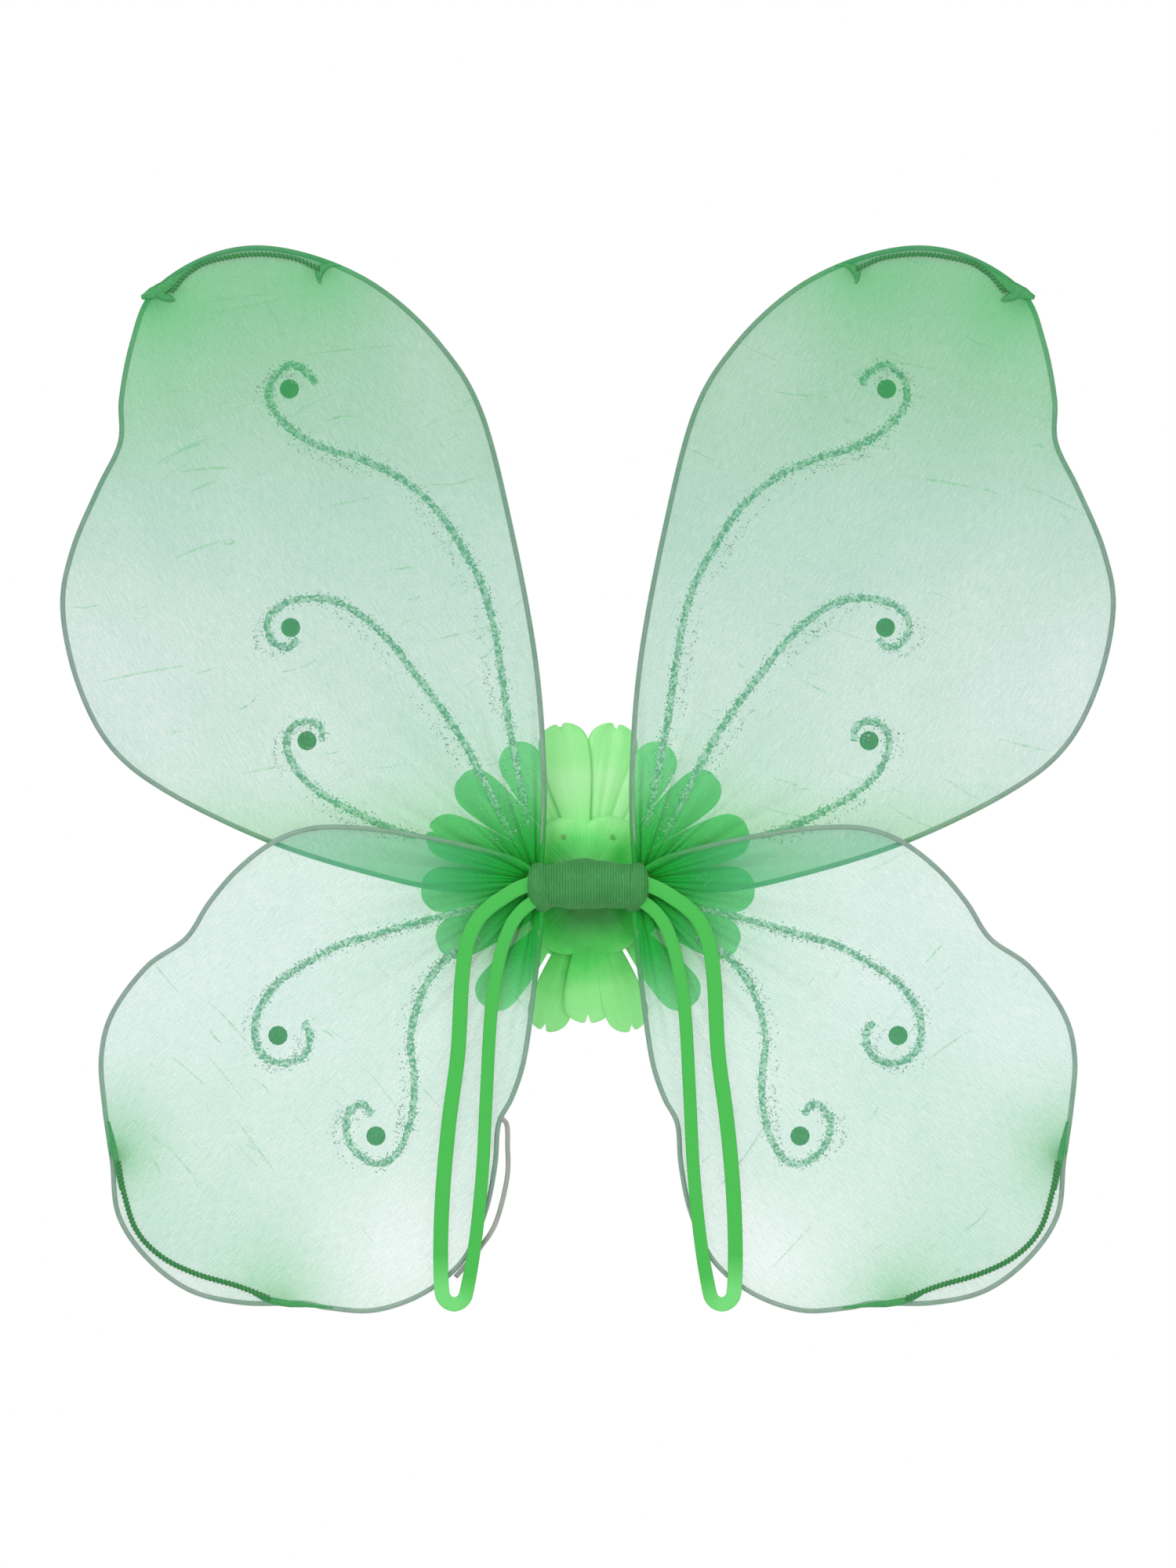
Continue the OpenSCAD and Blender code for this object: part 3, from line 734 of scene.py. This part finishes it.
def pulled_thread(middle, degrees, length, width, bend, y):
    """A strand: a thin ellipse, widest in the middle, carried along a shallow arc."""
    t = np.linspace(-1, 1, 13)
    turn = np.radians(degrees)
    along, across = t * length / 2, bend * (t ** 2 - 0.5)
    line = np.stack([middle[0] + along * np.cos(turn) - across * np.sin(turn),
                     middle[1] + along * np.sin(turn) + across * np.cos(turn)], 1)
    taper = np.sqrt(1.02 - t ** 2)[:, None, None]
    return swept(line, y, ellipse(width, 0.16, 6)[None] * taper), tube_faces(13, 6)


for side, sign in SIDES.items():
    for number, wing in enumerate(("upper", "lower")):
        source = np.random.default_rng(60 + number + (7 if sign < 0 else 0))
        edge = even_line(EDGE[wing], 4.0)
        centre = edge.mean(axis=0)
        count = PULLS[wing]
        towards = edge[source.integers(5, len(edge) - 5, count)]
        middles = centre + (towards - centre) * np.sqrt(source.uniform(0.02, 0.86, count))[:, None]
        strands = [pulled_thread(middle, PULL_WAY[wing] + source.normal(0, 8),
                                 SHORTEST_PULL + LONGER_PULL * source.uniform() ** 2.5,
                                 source.uniform(0.4, 0.9), source.normal(0, 0.8),
                                 PLANE_Y[wing] - LAYER_GAP - 0.14)
                   for middle in middles]
        threads = piece(f"{wing}_{side}_pulled_threads", *stack(strands), pulled, f"{wing}_{side}_wing",
                        mirrored=sign < 0)

# ---------------------------------------------------------------- glitter lines
# Glue with fine glitter is piped in curls on the outer face of each wing. The ridge has
# a ragged edge, loose flakes lie round it, and some have printed through to the near layer.
GLITTER_LINES = {
    "upper": [
        [(111.5, 204.5), (115, 210), (121, 213), (126.5, 210), (130, 204), (130, 198), (126, 191),
         (118, 184), (107, 178.5), (92, 174), (78, 167.5), (67, 159), (59, 150), (51, 137.5),
         (43.5, 123), (38.5, 106), (35.5, 88), (33, 70), (30, 54), (26.5, 36), (24, 24)],
        [(118.5, 101), (122, 97.5), (128, 99), (131, 104.5), (130, 110.5), (123.5, 115.5),
         (113.5, 117.5), (102.5, 116), (92, 110), (82, 101), (72.5, 89), (62.5, 76), (52, 60.5),
         (43.5, 45), (36.5, 30.5), (31, 19)],
        [(109, 59), (109, 64.5), (113.5, 67), (119.5, 66), (123, 60.5), (122, 53), (116.5, 44),
         (106.5, 36), (95, 30), (83.5, 24.5), (70, 20)],
    ],
    "lower": [
        [(116.5, -55.5), (113.5, -60), (114.5, -67), (119.5, -71.5), (127, -72), (134, -67.5),
         (136, -58), (134, -50), (126.5, -39.5), (115, -31.5), (101, -24), (87, -20), (72, -15.5),
         (58, -12), (44, -8.5)],
        [(88, -93.5), (91.5, -89), (96.5, -91), (99, -98), (96, -107), (88, -113), (81, -112),
         (75, -104), (71.5, -91), (71, -77), (72.5, -63), (70, -50), (65, -38.5), (56.5, -28.5),
         (44, -21)],
    ],
}
GLITTER_W, GLITTER_H = {"upper": 3.1, "lower": 3.2}, 0.5
FLAKE_R = 0.33
FLAKES_PER_MM = 7.0
PRINT_SHIFT = (5.0, -3.0)

# Glitter glue: clear gloss glue packed with green foil flakes, each with its own gloss and tilt,
# drawn 0.9 mm across, coarser than real ones, to show. Each flake's colour is set by chance from
# mid green to near white, and the pale ones are painted glints
glitter, tree, shader, place = new_material("foil_glitter_glue", "#5da67a", 0.32)
cells = add_node(tree, "TexVoronoi", {"Scale": 1150.0, "Vector": place.outputs["Object"]})
chance = add_node(tree, "SeparateColor", {"Color": cells.outputs["Color"]})
# painted glints: the pale end of these flake tones
tones = add_node(tree, "ValToRGB", {"stops": [(0.25, "#6ca885"), (0.8, "#cfe9d8")], "Fac": chance})
rough = add_node(tree, "MapRange", {"To Min": 0.12, "To Max": 0.5, "Value": chance.outputs[1]})
bump = add_node(tree, "Bump", {"Strength": 0.5, "Distance": 0.0002, "Height": chance.outputs[2]})
fit(shader, {"Base Color": tones, "Roughness": rough, "Normal": bump, "Metallic": 0.12})


def flakes(places, y, source):
    """Foil flakes: flat four-sided double pyramids at places, each tilted by chance."""
    count = len(places)
    a = 2 * np.pi * np.arange(4) / 4
    size = source.uniform(0.7, 1.25, count)[:, None] * FLAKE_R
    tilt = source.uniform(-0.5, 0.5, (count, 2))
    spin = source.uniform(0, 2 * np.pi, count)[:, None]
    x = size * np.cos(a[None] + spin)
    z = size * np.sin(a[None] + spin)
    rim_y = x * tilt[:, :1] + z * tilt[:, 1:]
    ring = np.stack([x, rim_y, z], -1)
    poles = np.stack([0 * tilt[:, 0], np.full(count, 0.05), 0 * tilt[:, 0]], -1)[:, None]
    points = np.concatenate([ring, poles, -poles], 1)
    points += np.stack([places[:, 0], y, places[:, 1]], -1)[:, None]
    one = [(i, (i + 1) % 4, 4) for i in range(4)] + [((i + 1) % 4, i, 5) for i in range(4)]
    faces = (np.array(one)[None] + 6 * np.arange(count)[:, None, None]).reshape(-1, 3)
    return points.reshape(-1, 3), faces.tolist()


for side, sign in SIDES.items():
    for number, wing in enumerate(("upper", "lower")):
        source = np.random.default_rng(20 + number + (5 if sign < 0 else 0))
        far_y = PLANE_Y[wing] + LAYER_GAP
        ridges, prints = [], []
        for route in GLITTER_LINES[wing]:
            line = even_line(route, 0.6)
            count = len(line)
            ragged = 1 + 0.22 * source.standard_normal((count, 1))
            ragged = (ragged + np.roll(ragged, 1, 0)) / 2
            from_end = np.minimum(np.arange(count), count - 1 - np.arange(count))
            ends = np.clip(from_end / 2.5 + 0.35, 0, 1)
            width = GLITTER_W[wing]
            profile = ellipse(width * 0.85, 2 * GLITTER_H, 10)[None] * (ragged * ends[:, None])[:, :, None]
            profile[..., 1] = np.maximum(profile[..., 1], -0.15)
            ridges.append((swept(line, far_y, profile), tube_faces(count, 10)))
            way = length_along(line)
            total = int(way[-1] * FLAKES_PER_MM)
            spot = source.uniform(0, way[-1], total)
            off = source.normal(0, width * 0.40, total)
            on_line = np.stack([np.interp(spot, way, line[:, k]) for k in range(2)], 1)
            sideways = normals_of(line)[np.searchsorted(way, spot).clip(0, count - 1)]
            height = GLITTER_H * np.sqrt(np.clip(1 - (2 * off / width) ** 2, 0, 1))
            ridges.append(flakes(on_line + sideways * off[:, None], far_y + height + 0.06, source))
            few = source.uniform(0, 1, total) < 0.30 * (0.5 + 0.5 * np.sin(spot / 9.0)) + 0.02
            shift = np.array(PRINT_SHIFT) + source.normal(0, 1.0, (total, 2))
            near_y = np.full(few.sum(), PLANE_Y[wing] - LAYER_GAP - 0.08)
            prints.append(flakes((on_line + shift)[few], near_y, source))
        curls = piece(f"{wing}_{side}_glitter_curls", *stack(ridges), glitter, f"{wing}_{side}_wing",
                      mirrored=sign < 0)
        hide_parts(f"{wing}_{side}_swirls")
        printed = piece(f"{wing}_{side}_glitter_print", *stack(prints), glitter, f"{wing}_{side}_wing",
                        mirrored=sign < 0)

# ---------------------------------------------------------------- gems
# A round faceted acrylic gem of 8 mm is glued inside each curl. Its flat back lies on
# the nylon, so from the wearer's side only its foiled back shows as a green disc.
GEM_AT = {
    "upper": [(122, 203), (121.5, 105.5), (114.8, 59.3)],
    "lower": [(126.5, -61), (86.5, -102)],
}
GEM_RINGS = [(4.0, 0.0, 0.0), (4.0, 0.55, 0.0), (3.05, 1.3, 0.5), (1.9, 1.75, 0.0)]  # radius, height, turn
GEM_FACETS = 12

# Acrylic, moulded and polished: deep green, wet gloss, with a depth that shifts over 3 mm
acrylic, tree, shader, place = new_material("moulded_acrylic_gem", "#2f8f4c", 0.08)
depth = add_node(tree, "TexNoise", {"Scale": 350.0, "Detail": 2.0, "Vector": place.outputs["Object"]})
tint = add_node(tree, "Mix", {
    "data_type": "RGBA", "Factor": depth.outputs["Fac"], 6: linear("#267328"), 7: linear("#4c9f50")})
fit(shader, {"IOR": 1.49, "Coat Weight": 0.5, "Coat Roughness": 0.04, "Base Color": tint.outputs[2]})


def gem(centre, y):
    """A round gem: rings of points, one turned half a facet, with flat facets between them."""
    radius, height, turned = np.array(GEM_RINGS).T[..., None]
    a = 2 * np.pi * (np.arange(GEM_FACETS) + turned) / GEM_FACETS
    points = np.stack([centre[0] + radius * np.cos(a), y + height + 0 * a,
                       centre[1] + radius * np.sin(a)], -1)
    quads = grid_faces(len(GEM_RINGS), GEM_FACETS, wrap_cols=True)
    facets = np.concatenate([quads[:, [0, 1, 3]], quads[:, [1, 2, 3]]], 1).reshape(-1, 3)
    return points, facets.tolist() + tube_faces(len(GEM_RINGS), GEM_FACETS)[-2:]


for side, sign in SIDES.items():
    for wing in ("upper", "lower"):
        stones = piece(f"{wing}_{side}_acrylic_gems",
                       *stack([gem(at, PLANE_Y[wing] + LAYER_GAP - 0.1) for at in GEM_AT[wing]]),
                       acrylic, f"{wing}_{side}_wing", smooth=False, mirrored=sign < 0)
        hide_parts(f"{wing}_{side}_gems")

# ---------------------------------------------------------------- binding
# Spare stocking is wound tightly round the taped core, many turns side by side, and at
# each end a few slanting turns catch the pleats and the elastic.
WRAP_HALF = 19.0
BARREL_HALF = 25.0
BARREL_R = 9.1
RIB_STEP = 1.15
END_START = 16.8
END_RISE = 0.35
SLANT = 0.30

# Wound nylon: soft matt stretch knit, mid green, in fine lines 0.5 mm apart round the barrel.
# A wave texture of scale s repeats each 2 pi / 20 s, so one wave is one rib of the winding
wound, tree, shader, place = new_material("wound_stretch_nylon", "#43954f", 0.7, sheen=0.08)
fine = add_node(tree, "Mapping", {"Scale": (3.0, 0.6, 0.6), "Vector": place.outputs["Object"]})
lines = add_node(tree, "TexNoise", {"Scale": 700.0, "Detail": 3.0, "Vector": fine})
cloud = add_node(tree, "TexNoise", {"Scale": 90.0, "Detail": 3.0, "Vector": place.outputs["Object"]})
half_cloud = add_node(tree, "Math", {"operation": "MULTIPLY", 1: 0.5, 0: cloud.outputs["Fac"]})
patchy = add_node(tree, "Math", {
    "operation": "MULTIPLY_ADD", 1: 0.5, 0: lines.outputs["Fac"], 2: half_cloud})
turns = add_node(tree, "TexWave", {
    "Scale": 1 / (20 * RIB_STEP * 0.001 / (2 * np.pi)), "Distortion": 1.2, "Detail": 1.0,
    "Detail Scale": 0.3, "Vector": place.outputs["Object"]})
# painted shade: this wave darkens the colour once each rib, as shade in the grooves between the turns
tone = add_node(tree, "Math", {"operation": "MULTIPLY_ADD", 1: 0.22, 0: turns.outputs["Fac"], 2: -0.11})
mottle_and_painted_groove_shade = add_node(tree, "Math", {"operation": "ADD", 0: patchy, 1: tone})
tint = add_node(tree, "ValToRGB", {"stops": [(0.3, "#1f7830"), (0.72, "#40954c")], "Fac": mottle_and_painted_groove_shade})
bump = add_node(tree, "Bump", {"Strength": 0.3, "Distance": 0.0003, "Height": lines.outputs["Fac"]})
fit(shader, {"Base Color": tint, "Normal": bump})


def barrel_radius(x, a):
    """Radius of the wound barrel at x and angle a: waists, a hump on top, droops below and round ends."""
    from_top = (a - np.pi / 2 + np.pi) % (2 * np.pi) - np.pi
    from_bottom = (a + np.pi / 2 + np.pi) % (2 * np.pi) - np.pi
    waist = -0.45 * np.exp(-((np.abs(x) - 14) / 4.0) ** 2)
    hump = 1.9 * np.exp(-((x + 1) / 10.0) ** 2) * np.exp(-(from_top / 0.75) ** 2)
    droop = 1.7 * np.exp(-((np.abs(x) - 18.8) / 2.6) ** 2) * np.exp(-(from_bottom / 0.5) ** 2)
    uneven = 0.20 * np.sin(0.35 * x + 2 * a) + 0.14 * np.sin(0.62 * x - 3 * a + 1)
    rounding = np.sqrt(np.clip(1 - np.clip((np.abs(x) - 20.5) / 4.75, 0, 1) ** 2.6, 0.0, 1))
    return (BARREL_R + waist + hump + droop + uneven) * rounding


def turns_relief(x, a, slant):
    """Height of the wound turns: a rib each step of x, which leans with height by slant."""
    lean = x - slant * BARREL_R * np.sin(a)
    return 0.24 * np.abs(np.sin(np.pi * lean / RIB_STEP)) + 0.07 * np.sin(np.pi * lean / 3.1 + a)


def binding_wrap():
    """The middle of the barrel, whose ends lie under the end windings."""
    x = np.linspace(-WRAP_HALF, WRAP_HALF, 360)[:, None]
    a = np.linspace(0, 2 * np.pi, 96, endpoint=False)[None]
    sink = 0.9 * np.clip((np.abs(x) - END_START) / 2.0, 0, 1)
    r = barrel_radius(x, a) + turns_relief(x, a, 0.0) - sink
    points = np.stack([x + 0 * a, r * np.cos(a), r * np.sin(a)], -1)
    return points.reshape(-1, 3), tube_faces(360, 96)


def end_winding():
    """The last turns, on the +X side: they begin on a slant, stand proud and close the round end."""
    u = np.linspace(0, 1, 120)[:, None]
    a = np.linspace(0, 2 * np.pi, 96, endpoint=False)[None]
    begin = END_START + SLANT * BARREL_R * 0.5 * np.sin(a)
    x = begin + (BARREL_HALF - begin) * u
    rise = END_RISE * np.clip(u / 0.08, 0, 1) - 0.8 * (u == 0)
    r = barrel_radius(x, a) + turns_relief(x, a, SLANT) + rise
    points = np.stack([x, r * np.cos(a), r * np.sin(a)], -1)
    return points.reshape(-1, 3), tube_faces(120, 96)


wrap = piece("binding_wrap", *binding_wrap(), wound, "binding")
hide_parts("centre_wrap")
for side, sign in SIDES.items():
    winding = piece(f"end_winding_{side}", *end_winding(), wound, "binding", mirrored=sign < 0)
    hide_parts(f"wrap_band_{side}")

# ---------------------------------------------------------------- flower
# Rings of petals are cut from pressed satin, dyed from dark at the base to pale at the
# tip, and sewn one on another over a small backing of leaves, tied behind the binding.
FLOWER_Y = 14.0
PETAL_START = 6.0
PETAL_LEAN = np.tan(np.radians(14))
OUTER_TURNS = [(-90, 57, 20), (-73, 63, 18), (-22, 67, 18), (19, 70, 19), (61, 66, 18),
               (100, 67.5, 21), (140, 69, 18), (182, 69, 19), (229, 66, 18)]
SECOND_TURNS = [(-49, 66, 18), (-2, 69, 19), (40, 69, 18), (80, 67.5, 21), (119, 66, 18),
                (161, 70, 19), (202, 67, 18), (253, 63, 18)]
INNER_TURNS = [(45 * i + 10, 33, 15) for i in range(8)]
HEART_TURNS = [(45 * i + 32, 23, 10) for i in range(8)]
NOTCHED = {-90: 0.07, -73: 0.05, 253: 0.05, 80: 0.045, 100: 0.045, 161: 0.04}
PETAL_T = 0.35
SATIN_TONES = [(0.0, "#148a24"), (0.07, "#2aa33b"), (0.24, "#48d654"), (0.44, "#8ff08a"),
               (0.8, "#aef2a6"), (1.0, "#9af093")]

# Pressed satin: a smooth weave with a soft gloss, dyed in patches about 18 mm wide that wander
# over its shading, which is also paler higher up and deeper lower down as painted light from above,
# with fine creases 0.7 mm apart along each petal
satin, tree, shader, place = new_material("pressed_satin", "#7fd978", 0.34, sheen=0.15)
flat_way = add_node(tree, "Mapping", {"Scale": (1.0, 0.0, 1.0), "Vector": place.outputs["Object"]})
radius = add_node(tree, "VectorMath", {"operation": "LENGTH", 0: flat_way})
patch = add_node(tree, "TexNoise", {"Scale": 55.0, "Detail": 3.0, "Vector": place.outputs["Object"]})
spread = add_node(tree, "Math", {"operation": "MULTIPLY_ADD", 1: 0.022, 2: -0.011, 0: patch.outputs["Fac"]})
reach_in = add_node(tree, "Math", {"operation": "ADD", 0: radius.outputs["Value"], 1: spread})
# painted light from above: height moves the ombre, so higher petals are paler and lower ones deeper
height = add_node(tree, "SeparateXYZ", {"Vector": place.outputs["Object"]})
reach_in = add_node(tree, "Math", {
    "operation": "MULTIPLY_ADD", 1: 0.28, 0: height.outputs["Z"], 2: reach_in})
ombre_place_with_painted_light = add_node(tree, "MapRange", {"From Min": 0.008, "From Max": 0.068, "Value": reach_in})
ombre_with_painted_light = add_node(tree, "ValToRGB", {"stops": SATIN_TONES, "Fac": ombre_place_with_painted_light})
crease_way = add_node(tree, "Mapping", {"Scale": (26.0, 2.0, 1.0), "Vector": place.outputs["UV"]})
creases = add_node(tree, "TexNoise", {"Scale": 1.0, "Detail": 4.0, "Vector": crease_way})
bump = add_node(tree, "Bump", {"Strength": 0.35, "Distance": 0.0006, "Height": creases.outputs["Fac"]})
fit(shader, {"Base Color": ombre_with_painted_light, "Normal": bump})


def petal(turn, tip, width, y, lean, seed):
    """One petal on a grid: its half width grows as a sine to a round tip, and its face is cupped."""
    notch = NOTCHED.get(turn, 0.0)
    source = np.random.default_rng(seed)
    u = 1 - np.linspace(1, 0, 34)[:, None] ** 1.5
    v = np.linspace(-1, 1, 17)[None]
    spoon = 0.84
    half = width / 2 * (0.32 + 0.68 * np.sin(np.pi / 2 * np.clip(u / spoon, 0, 1)) ** 2.2)
    half = half * np.where(u > spoon, np.sqrt(np.clip(1 - ((u - spoon) / 0.165) ** 2.3, 0.0, 1)), 1.0)
    edge = 1 - notch * np.exp(-(v / 0.28) ** 2) * u ** 8
    r = PETAL_START + (tip - PETAL_START) * u * edge
    twist, curl = source.uniform(-0.06, 0.06), source.uniform(0.5, 1.3)
    across = half * v
    fold = 0.5 * np.exp(-(v / 0.10) ** 2) * np.sin(np.pi * u)
    cup = 0.9 * (v ** 2 - 0.4) * np.sin(np.pi * np.clip(u, 0, 0.9)) + curl * u ** 4
    ruffle = 0.35 * u ** 3 * np.sin(5 * v + source.uniform(0, 6))
    out = y + (r - PETAL_START) * lean + cup + fold + ruffle + twist * across
    a = np.radians(turn)
    points = np.stack([r * np.cos(a) - across * np.sin(a), out, r * np.sin(a) + across * np.cos(a)], -1)
    return points, 0 * u + (v + 1) / 2, u + 0 * v


def petal_ring(name, turns, y, lean, seed, hub):
    """A ring of petals on a small hub, as one closed sheet of that thickness."""
    parts, across, along = [], [], []
    for number, (turn, tip, width) in enumerate(turns):
        top, pu, pv = petal(turn, tip, width, y, lean, seed + number)
        under = top + (0, PETAL_T, 0)
        rows, cols = top.shape[:2]
        shell = np.concatenate([top, under[:, ::-1]], 1)
        parts.append((shell, tube_faces(rows, 2 * cols)))
        across.append(np.concatenate([pu, pu[:, ::-1]], 1).ravel() + number)
        along.append(np.concatenate([pv, pv[:, ::-1]], 1).ravel())
    a = np.linspace(0, 2 * np.pi, 48, endpoint=False)[None]
    rings = np.array([(0.3, 0.0), (hub - 1, 0.0), (hub, 0.4), (hub - 1, 0.9), (0.3, 0.9)])
    hub_points = np.stack([rings[:, :1] * np.cos(a), y + rings[:, 1:] + 0 * a,
                           rings[:, :1] * np.sin(a)], -1)
    parts.append((hub_points, tube_faces(5, 48)))
    across.append(np.zeros(5 * 48))
    along.append(np.zeros(5 * 48))
    made = piece(name, *stack(parts), satin, "binding")
    set_uv(made, np.concatenate(across), np.concatenate(along))
    return made


outer = petal_ring("flower_outer_ring", OUTER_TURNS, FLOWER_Y, PETAL_LEAN, 100, 9.0)
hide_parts("flower_petals_outer")
second = petal_ring("flower_second_ring", SECOND_TURNS, FLOWER_Y + 2.2, PETAL_LEAN, 200, 9.0)
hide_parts("flower_petals_second")
inner = petal_ring("flower_inner_ring", INNER_TURNS, FLOWER_Y + 4.2, np.tan(np.radians(26)), 300, 8.5)
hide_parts("flower_petals_inner")
petal_ring("flower_heart_ring", HEART_TURNS, FLOWER_Y + 5.6, np.tan(np.radians(34)), 400, 7.5)


def backing_leaves():
    """Six leaves pressed in one: a disc whose rim swells with |cos 3a|, in soft folds of cos 6a."""
    a = np.linspace(0, 2 * np.pi, 180, endpoint=False)[None]
    u = np.linspace(0.02, 1, 20)[:, None]
    tip = 26.4 + 4.4 * np.abs(np.cos(3 * (a - np.pi / 3))) ** 0.8 + 0.5 * np.sin(2 * a + 0.7)
    r = tip * u
    fold = -0.35 * u ** 2 * np.cos(6 * (a - np.pi / 3)) + 0.2 * u * np.sin(11 * a + 1.0) + 0.9 * u ** 8
    y = FLOWER_Y - 1.2 + (r - PETAL_START) * PETAL_LEAN + fold
    face = np.stack([r * np.cos(a), y, r * np.sin(a)], -1)
    shell = np.concatenate([face, (face + (0, PETAL_T, 0))[::-1]], 0)
    along = np.concatenate([u, u[::-1]], 0) + 0 * a
    return shell, along, 6 * a / (2 * np.pi) + 0 * along


shell, along, across = backing_leaves()
rows, cols = shell.shape[:2]
calyx = piece("flower_backing_leaves", shell.reshape(-1, 3),
              grid_faces(rows, cols, wrap_rows=True, wrap_cols=True), satin, "binding")
set_uv(calyx, across, along)
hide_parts("flower_backing")


def bead(centre, radius):
    """A round bead: a sphere of rings and sides, closed at both poles."""
    u, v = np.meshgrid(np.linspace(0.12, np.pi - 0.12, 6),
                       np.linspace(0, 2 * np.pi, 10, endpoint=False), indexing="ij")
    points = np.stack([np.sin(u) * np.cos(v), np.cos(u), np.sin(u) * np.sin(v)], -1) * radius + centre
    return points, tube_faces(6, 10)


# Polished beads, 1.9 mm across and threaded close together, cover a domed middle
pearl, tree, shader, place = new_material("polished_green_bead", "#2f9c45", 0.16)
depth = add_node(tree, "TexNoise", {"Scale": 260.0, "Vector": place.outputs["Object"]})
tint = add_node(tree, "Mix", {
    "data_type": "RGBA", "Factor": depth.outputs["Fac"], 6: linear("#1f8336"), 7: linear("#56bd66")})
fit(shader, {"Coat Weight": 0.4, "Base Color": tint.outputs[2]})
BEADS = 70
BEAD_R = 0.95
BEADED_R = 7.6
GOLDEN_ANGLE = 2.39996
bead_parts = []
for count in range(BEADS):
    # sunflower order: equal turns of the golden angle, radius as a square root
    spread_r = BEADED_R * np.sqrt((count + 0.5) / BEADS)
    spread_a = count * GOLDEN_ANGLE
    dome_y = FLOWER_Y + 8.2 + 4.2 * np.sqrt(1 - (spread_r / 9.5) ** 2)
    centre = np.array([spread_r * np.cos(spread_a), dome_y, spread_r * np.sin(spread_a)])
    bead_parts.append(bead(centre, BEAD_R))
a = np.linspace(0, 2 * np.pi, 48, endpoint=False)[None]
dome_rings = np.array([(0.3, 5.8), (6.5, 5.8), (8.6, 8.6), (7.6, 10.6), (5.0, 12.0), (0.3, 12.5)])
dome = np.stack([dome_rings[:, :1] * np.cos(a), FLOWER_Y + dome_rings[:, 1:] + 0 * a,
                 dome_rings[:, :1] * np.sin(a)], -1)
middle = piece("flower_beaded_middle", *stack([(dome, tube_faces(6, 48))] + bead_parts), pearl, "binding")
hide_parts("flower_centre")

# Stitches that hold the leaves: soft cotton, the petals' own green, fuzzy in spots of 1 mm
cotton, tree, shader, place = new_material("green_cotton_stitch", "#6fbb62", 0.8, sheen=0.2)
fuzz = add_node(tree, "TexNoise", {"Scale": 900.0, "Detail": 2.0, "Vector": place.outputs["Object"]})
tint = add_node(tree, "Mix", {
    "data_type": "RGBA", "Factor": fuzz.outputs["Fac"], 6: linear("#58a74e"), 7: linear("#86cf78")})
fit(shader, {"Base Color": tint.outputs[2]})
dress("flower_stitches", cotton)
dress("flower_tie", thread)
